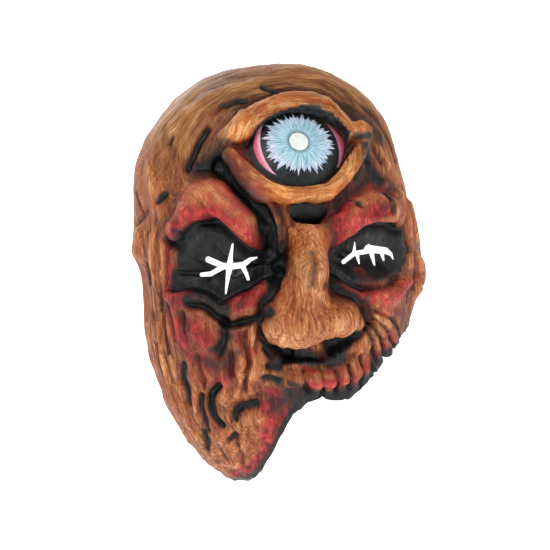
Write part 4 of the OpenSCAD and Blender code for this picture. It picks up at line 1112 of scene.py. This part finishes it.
def capsule_points(centre, along, radius, length):
    """Points and faces of a stitch: a slim rounded bead lying along an axis."""
    centre, along = np.array(centre, float), np.array(along, float)
    across = np.array([1.0, 0, 0])
    third = np.cross(along, across)
    points, faces = [], []
    stations = [(-0.5, 0.2), (-0.42, 0.75), (-0.2, 1), (0.2, 1), (0.42, 0.75), (0.5, 0.2)]
    for share, wide in stations:
        for k in range(8):
            a = math.pi / 4 * k
            points.append(centre + share * length * along + radius * wide * (math.cos(a) * across * 0.8 + math.sin(a) * third))
    for s in range(len(stations) - 1):
        faces += [[s * 8 + k, s * 8 + (k + 1) % 8, s * 8 + 8 + (k + 1) % 8, s * 8 + 8 + k] for k in range(8)]
    faces += [list(range(8))[::-1], [40 + k for k in range(8)]]
    return points, faces


def build_strap():
    elastic = woven_material("knitted_elastic", paint_colour(16, 16, 17), paint_colour(62, 62, 64), 900, 1.0, 1.25)
    webbing = woven_material("tab_webbing", paint_colour(18, 18, 19), paint_colour(70, 68, 66), 700, 1.6, 1.7)
    tail_x = -LAYER_X + BAND_THICK / 2
    path = line((BEND_MIDDLE[0] + BEND_RADIUS, -1), (BEND_MIDDLE[0] + BEND_RADIUS, BEND_MIDDLE[1]), 12)
    path += arc(*BEND_MIDDLE, BEND_RADIUS, 0, LEAN, 8)[:-1]
    for middle, radius, start, end, steps in ((REAR_MIDDLE, REAR_RADIUS, LEAN, 180 - LEAN, 90),
                                              (RING_REAR, FOLD_RADIUS + BAND_THICK / 2, 180 - LEAN, 360 - LEAN, 14)):
        bend = arc(*middle, radius, start, end, steps)
        path += line(path[-1], bend[0], 30)[1:] + bend
    path += line(path[-1], TAIL_END, 24)[1:] + [TAIL_END]
    band = ribbon("elastic_strap", path, BAND_WIDTH, BAND_THICK, elastic, ribs=16)
    right_tab = ribbon("right_webbing_tab", line((TAB_X - 0.6, -22), (TAB_X - 0.6, -12), 20) + line((TAB_X - 0.6, -12), (TAB_X - 0.6, 17), 14)
                       + [(TAB_X - 0.6, 17)], BAND_WIDTH, BAND_THICK, webbing, rounded_start=10)
    left_path = line((-TAB_X + 0.6, -22), (-TAB_X + 0.6, -12), 20) + line((-TAB_X + 0.6, -12), (-TAB_X + 0.6, RING_FRONT), 9)
    left_path += arc(-RING_X, RING_FRONT, FOLD_RADIUS + BAND_THICK / 2, 180, 0, 14)
    left_path += line((tail_x, RING_FRONT - 1), (tail_x, RING_FRONT - 8), 4) + [(tail_x, RING_FRONT - 8)]
    left_tab = ribbon("left_webbing_tab", left_path, BAND_WIDTH, BAND_THICK, webbing, rounded_start=10)
    points, faces = [], []
    rows = [(TAB_INNER_X - BAND_THICK - 0.2, y + 0.25) for y in (1, 6, 11)]
    rows += [(-TAB_X - 0.2, y + 0.25) for y in (RING_FRONT - 6, RING_FRONT - 3)]
    for x, y in rows:
        for k in range(-3, 4):
            more, shapes = capsule_points((x, y, STRAP_Z + 2.6 * k), (0, 0, 1), 0.28, 1.9)
            faces += [[v + len(points) for v in shape] for shape in shapes]
            points += more
    stitches = mesh_piece("strap_stitches", points, faces, thread_material())
    for piece, node, slot in ((band, "elastic_band", "elastic"), (right_tab, "right_end_tab", "tab_webbing"),
                              (left_tab, "left_end_tab", "tab_webbing"), (stitches, "strap_stitching", "thread")):
        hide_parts(node)
        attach(piece, "strap")


def dress_nodes():
    steel = metal_material("nickel_plate", paint_colour(206, 204, 198), 0.3)
    painted_steel = metal_material("black_nickel", paint_colour(98, 98, 102), 0.34)
    rubber = plastic_material("moulded_rubber", paint_colour(38, 37, 36), 0.62)
    plastic = plastic_material("slider_acetal", paint_colour(44, 44, 46), 0.44)
    looks = {"band_ring": steel, "strap_slider": plastic}
    for side in ("left", "right"):
        looks[f"{side}_anchor_patch"] = rubber
        looks[f"{side}_snap_cap"] = painted_steel
        for part in ("post", "stud", "socket"):
            looks[f"{side}_snap_{part}"] = steel
    for node, material in looks.items():
        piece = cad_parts[node]
        for place in piece.material_slots:
            place.material = material


def build_stage():
    n = Nodes("studio_paper")
    tooth = n.noise(n.place, 900, 3, 0.6)
    colour = n.mix(tooth, paint_colour(246, 246, 245), paint_colour(252, 252, 251))
    paper = n.finish(Base_Color=colour, Roughness=0.9, Specular_IOR_Level=0.1, Emission_Color=(1, 1, 1, 1), Emission_Strength=0.6)
    floor_z, back_y, radius, size = -0.30, 2.2, 0.9, 4.0
    profile = [(-size, floor_z), (back_y - radius, floor_z)]
    profile += [(back_y - radius + radius * math.sin(a), floor_z + radius * (1 - math.cos(a))) for a in np.linspace(0.1, math.pi / 2, 14)]
    profile.append((back_y, 4.0))
    points = [(x / MM, y / MM, z / MM) for y, z in profile for x in (-size, size)]
    faces = [[2 * k, 2 * k + 1, 2 * k + 3, 2 * k + 2] for k in range(len(profile) - 1)]
    mesh_piece("studio_floor", points, faces, paper)


def build_light():
    world = bpy.data.worlds.new("studio")
    world.use_nodes = True
    world.node_tree.nodes["Background"].inputs[0].default_value = (1, 1, 1, 1)
    world.node_tree.nodes["Background"].inputs[1].default_value = 0.45
    bpy.context.scene.world = world
    bpy.context.scene.view_settings.view_transform = "Standard"
    area_light("key_light", (-0.5, -1.1, 1.0), 0.45, 9)
    area_light("fill_light", (0.9, -1.0, 0.25), 0.8, 2.5)
    area_light("rear_light", (-0.2, 1.2, 0.9), 0.7, 6)


place_camera()
build_stage()
build_light()
skin, skin_points, skin_looks = build_skin()
cut(skin, [prism("lid_cut", lid_outline(), EYE_MIDDLE, EYE_RIGHT, EYE_UP, EYE_OUT, -24, 34)]
    + [slit_cutter(f"slit_{k}", place, strokes) for k, (place, strokes) in enumerate(CUTS.items())])
store_looks(skin, skin_points, skin_looks)
skin.name = "latex_skin"
skin.data.materials.clear()
skin.data.materials.append(skin_material())
skin.data.polygons.foreach_set("material_index", np.zeros(len(skin.data.polygons), np.int32))
skin.data.shade_smooth()
skin.data.set_sharp_from_angle(angle=math.radians(62))
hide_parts("mask_skin")
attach(skin, "mask")
eye = build_eye()
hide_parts("eye_dome")
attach(eye, "mask")
build_pads()
build_strap()
dress_nodes()
